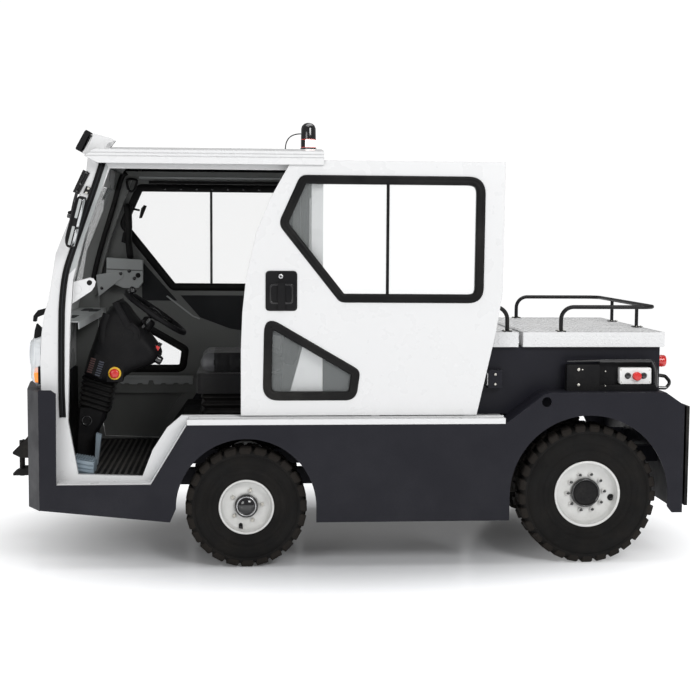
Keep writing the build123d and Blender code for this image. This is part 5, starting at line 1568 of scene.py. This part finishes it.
box = Shape()
switch_box = rounded([(-162, 955), (-320, 955), (-322, 875), (-164, 875)], [9] * 4)
box.prism(rear_line(switch_box), "y", 0.612, 0.646, "switch_white")
cap_at = from_rear(-247, 914, 646)
box.lathe([(0, 0.021), (0.003, 0.021), (0.004, 0.0125), (0.0105, 0.0125), (0.0120, 0.0205), (0.0180, 0.0215),
           (0.0215, 0.018), (0.022, 0)], cap_at, LEFT, "red", 36)
for x in (-203, -283):
    at = from_rear(x, 916, 646)
    box.lathe([(0, 0.0155), (0.004, 0.0155), (0.006, 0.0125), (0.0075, 0.0120), (0.0105, 0.0105),
               (0.0105, 0)], at, LEFT, "gloss", 28)
for x, z in ((-169, 945), (-313, 944), (-314, 885), (-171, 885)):
    box.lathe([(0, 0.0038), (0.0018, 0.0034), (0.0018, 0.001), (0.0006, 0.0009), (0.0006, 0)],
              from_rear(x, z, 646), LEFT, "zinc", 12)
box.place("remote_drive_box", "body", "control_white", bevel=0.0012, replaces=("control_box",))
support = Shape()
for outline, y_low, y_high, key in (
        (panel(-62, 100, 838, 971, 6), 0.606, 0.6505, "plastic"),
        ([(100, 985), (-318, 989), (-318, 996), (-100, 996), (100, 988)], 0.607, 0.6505, "gloss"),
        ([(-60, 978), (-330, 978), (-342, 940), (-342, 850), (-60, 850)], 0.606, 0.6095, "plastic"),
        ([(-62, 872), (-342, 870), (-350, 843), (-62, 843)], 0.608, 0.6505, "plastic")):
    support.prism(rear_line(outline), "y", y_low, y_high, key)
hoop = ((-62, 986), (-300, 988), (-332, 974), (-346, 930), (-346, 858))
support.tube([from_rear(x, z, 640) for x, z in hoop], 0.0085, "gloss", 14)
for x, z, r in ((43, 947, 0.008), (42, 872, 0.008), (24, 947, 0.004), (-90, 938, 0.004), (-91, 866, 0.004)):
    support.lathe([(0, r), (0.0035, r * 0.9), (0.0045, r * 0.4), (0.0045, 0)], from_rear(x, z, 650), LEFT,
                  "zinc", 14)
support.place("control_carrier", "body", "black_paint", bevel=0.0018, replaces=("control_bracket",))

# --- rear lamps and door rollers ----------------------------------------------
lamps = Shape()
for sign in (1, -1):
    at = Vector((rear_axle - 0.384, sign * 0.5, 0.975))
    lamps.lathe([(0, 0.028), (0.003, 0.031), (0.010, 0.029), (0.016, 0.031), (0.024, 0.029), (0.031, 0.031),
                 (0.038, 0.029), (0.044, 0.030), (0.050, 0.026), (0.0505, 0.020)],
                at, (-1, 0, 0), "red_lens", 40)
    lamps.lathe([(0.0505, 0.020), (0.0515, 0.018), (0.0515, 0)], at, (-1, 0, 0), "gloss", 40)
lamps.place("round_rear_lamps", "body", "red_lens", replaces=("rear_lamps",))
rollers = Shape()
for sign in (1, -1):
    base = from_rear(446, 896, sign * 610)
    out = Vector((0, sign, 0))
    for z in (-0.024, 0.024):
        rollers.lathe([(0, 0.0075), (0.0015, 0.0075), (0.0045, 0.006), (0.0045, 0)],
                      base + Vector((0, 0, z)), out, "zinc", 6)
    for z in (-0.016, 0.012):
        wheel_at = base + Vector((0.046, 0, z)) - out * 0.022
        rollers.lathe([(-0.008, 0), (-0.008, 0.011), (-0.003, 0.0125), (0.003, 0.0125), (0.008, 0.011),
                       (0.008, 0)], wheel_at, UP, "rubber", 24)
    rollers.block(base + Vector((0.030, min(sign * -0.032, sign * -0.004), -0.030)),
                  base + Vector((0.040, max(sign * -0.032, sign * -0.004), 0.030)), "white")
rollers.place("door_stop_rollers", "body", "black_paint", bevel=0.0008)

# --- couplings ----------------------------------------------------------------
bolts = Shape()
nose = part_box("front_coupling")[0].x
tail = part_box("rear_coupling")[0].x
for x, out in ((nose + 0.020, 1), (tail + 0.100, -1)):
    for y, z in ((-0.085, 0.310), (-0.085, 0.500), (0.085, 0.310), (0.085, 0.500)):
        bolts.lathe([(0, 0.0145), (0.009, 0.0145), (0.012, 0.010), (0.012, 0)], (x, y, z), (out, 0, 0),
                    "zinc", 6)
bolts.place("coupling_bolts", "body", "cast")

# --- floor --------------------------------------------------------------------
ground = bmesh.new()
bmesh.ops.create_grid(ground, x_segments=1, y_segments=1, size=30)
studio_floor = new_object("studio_floor", ground)
studio_floor.data.materials.append(floor_finish)
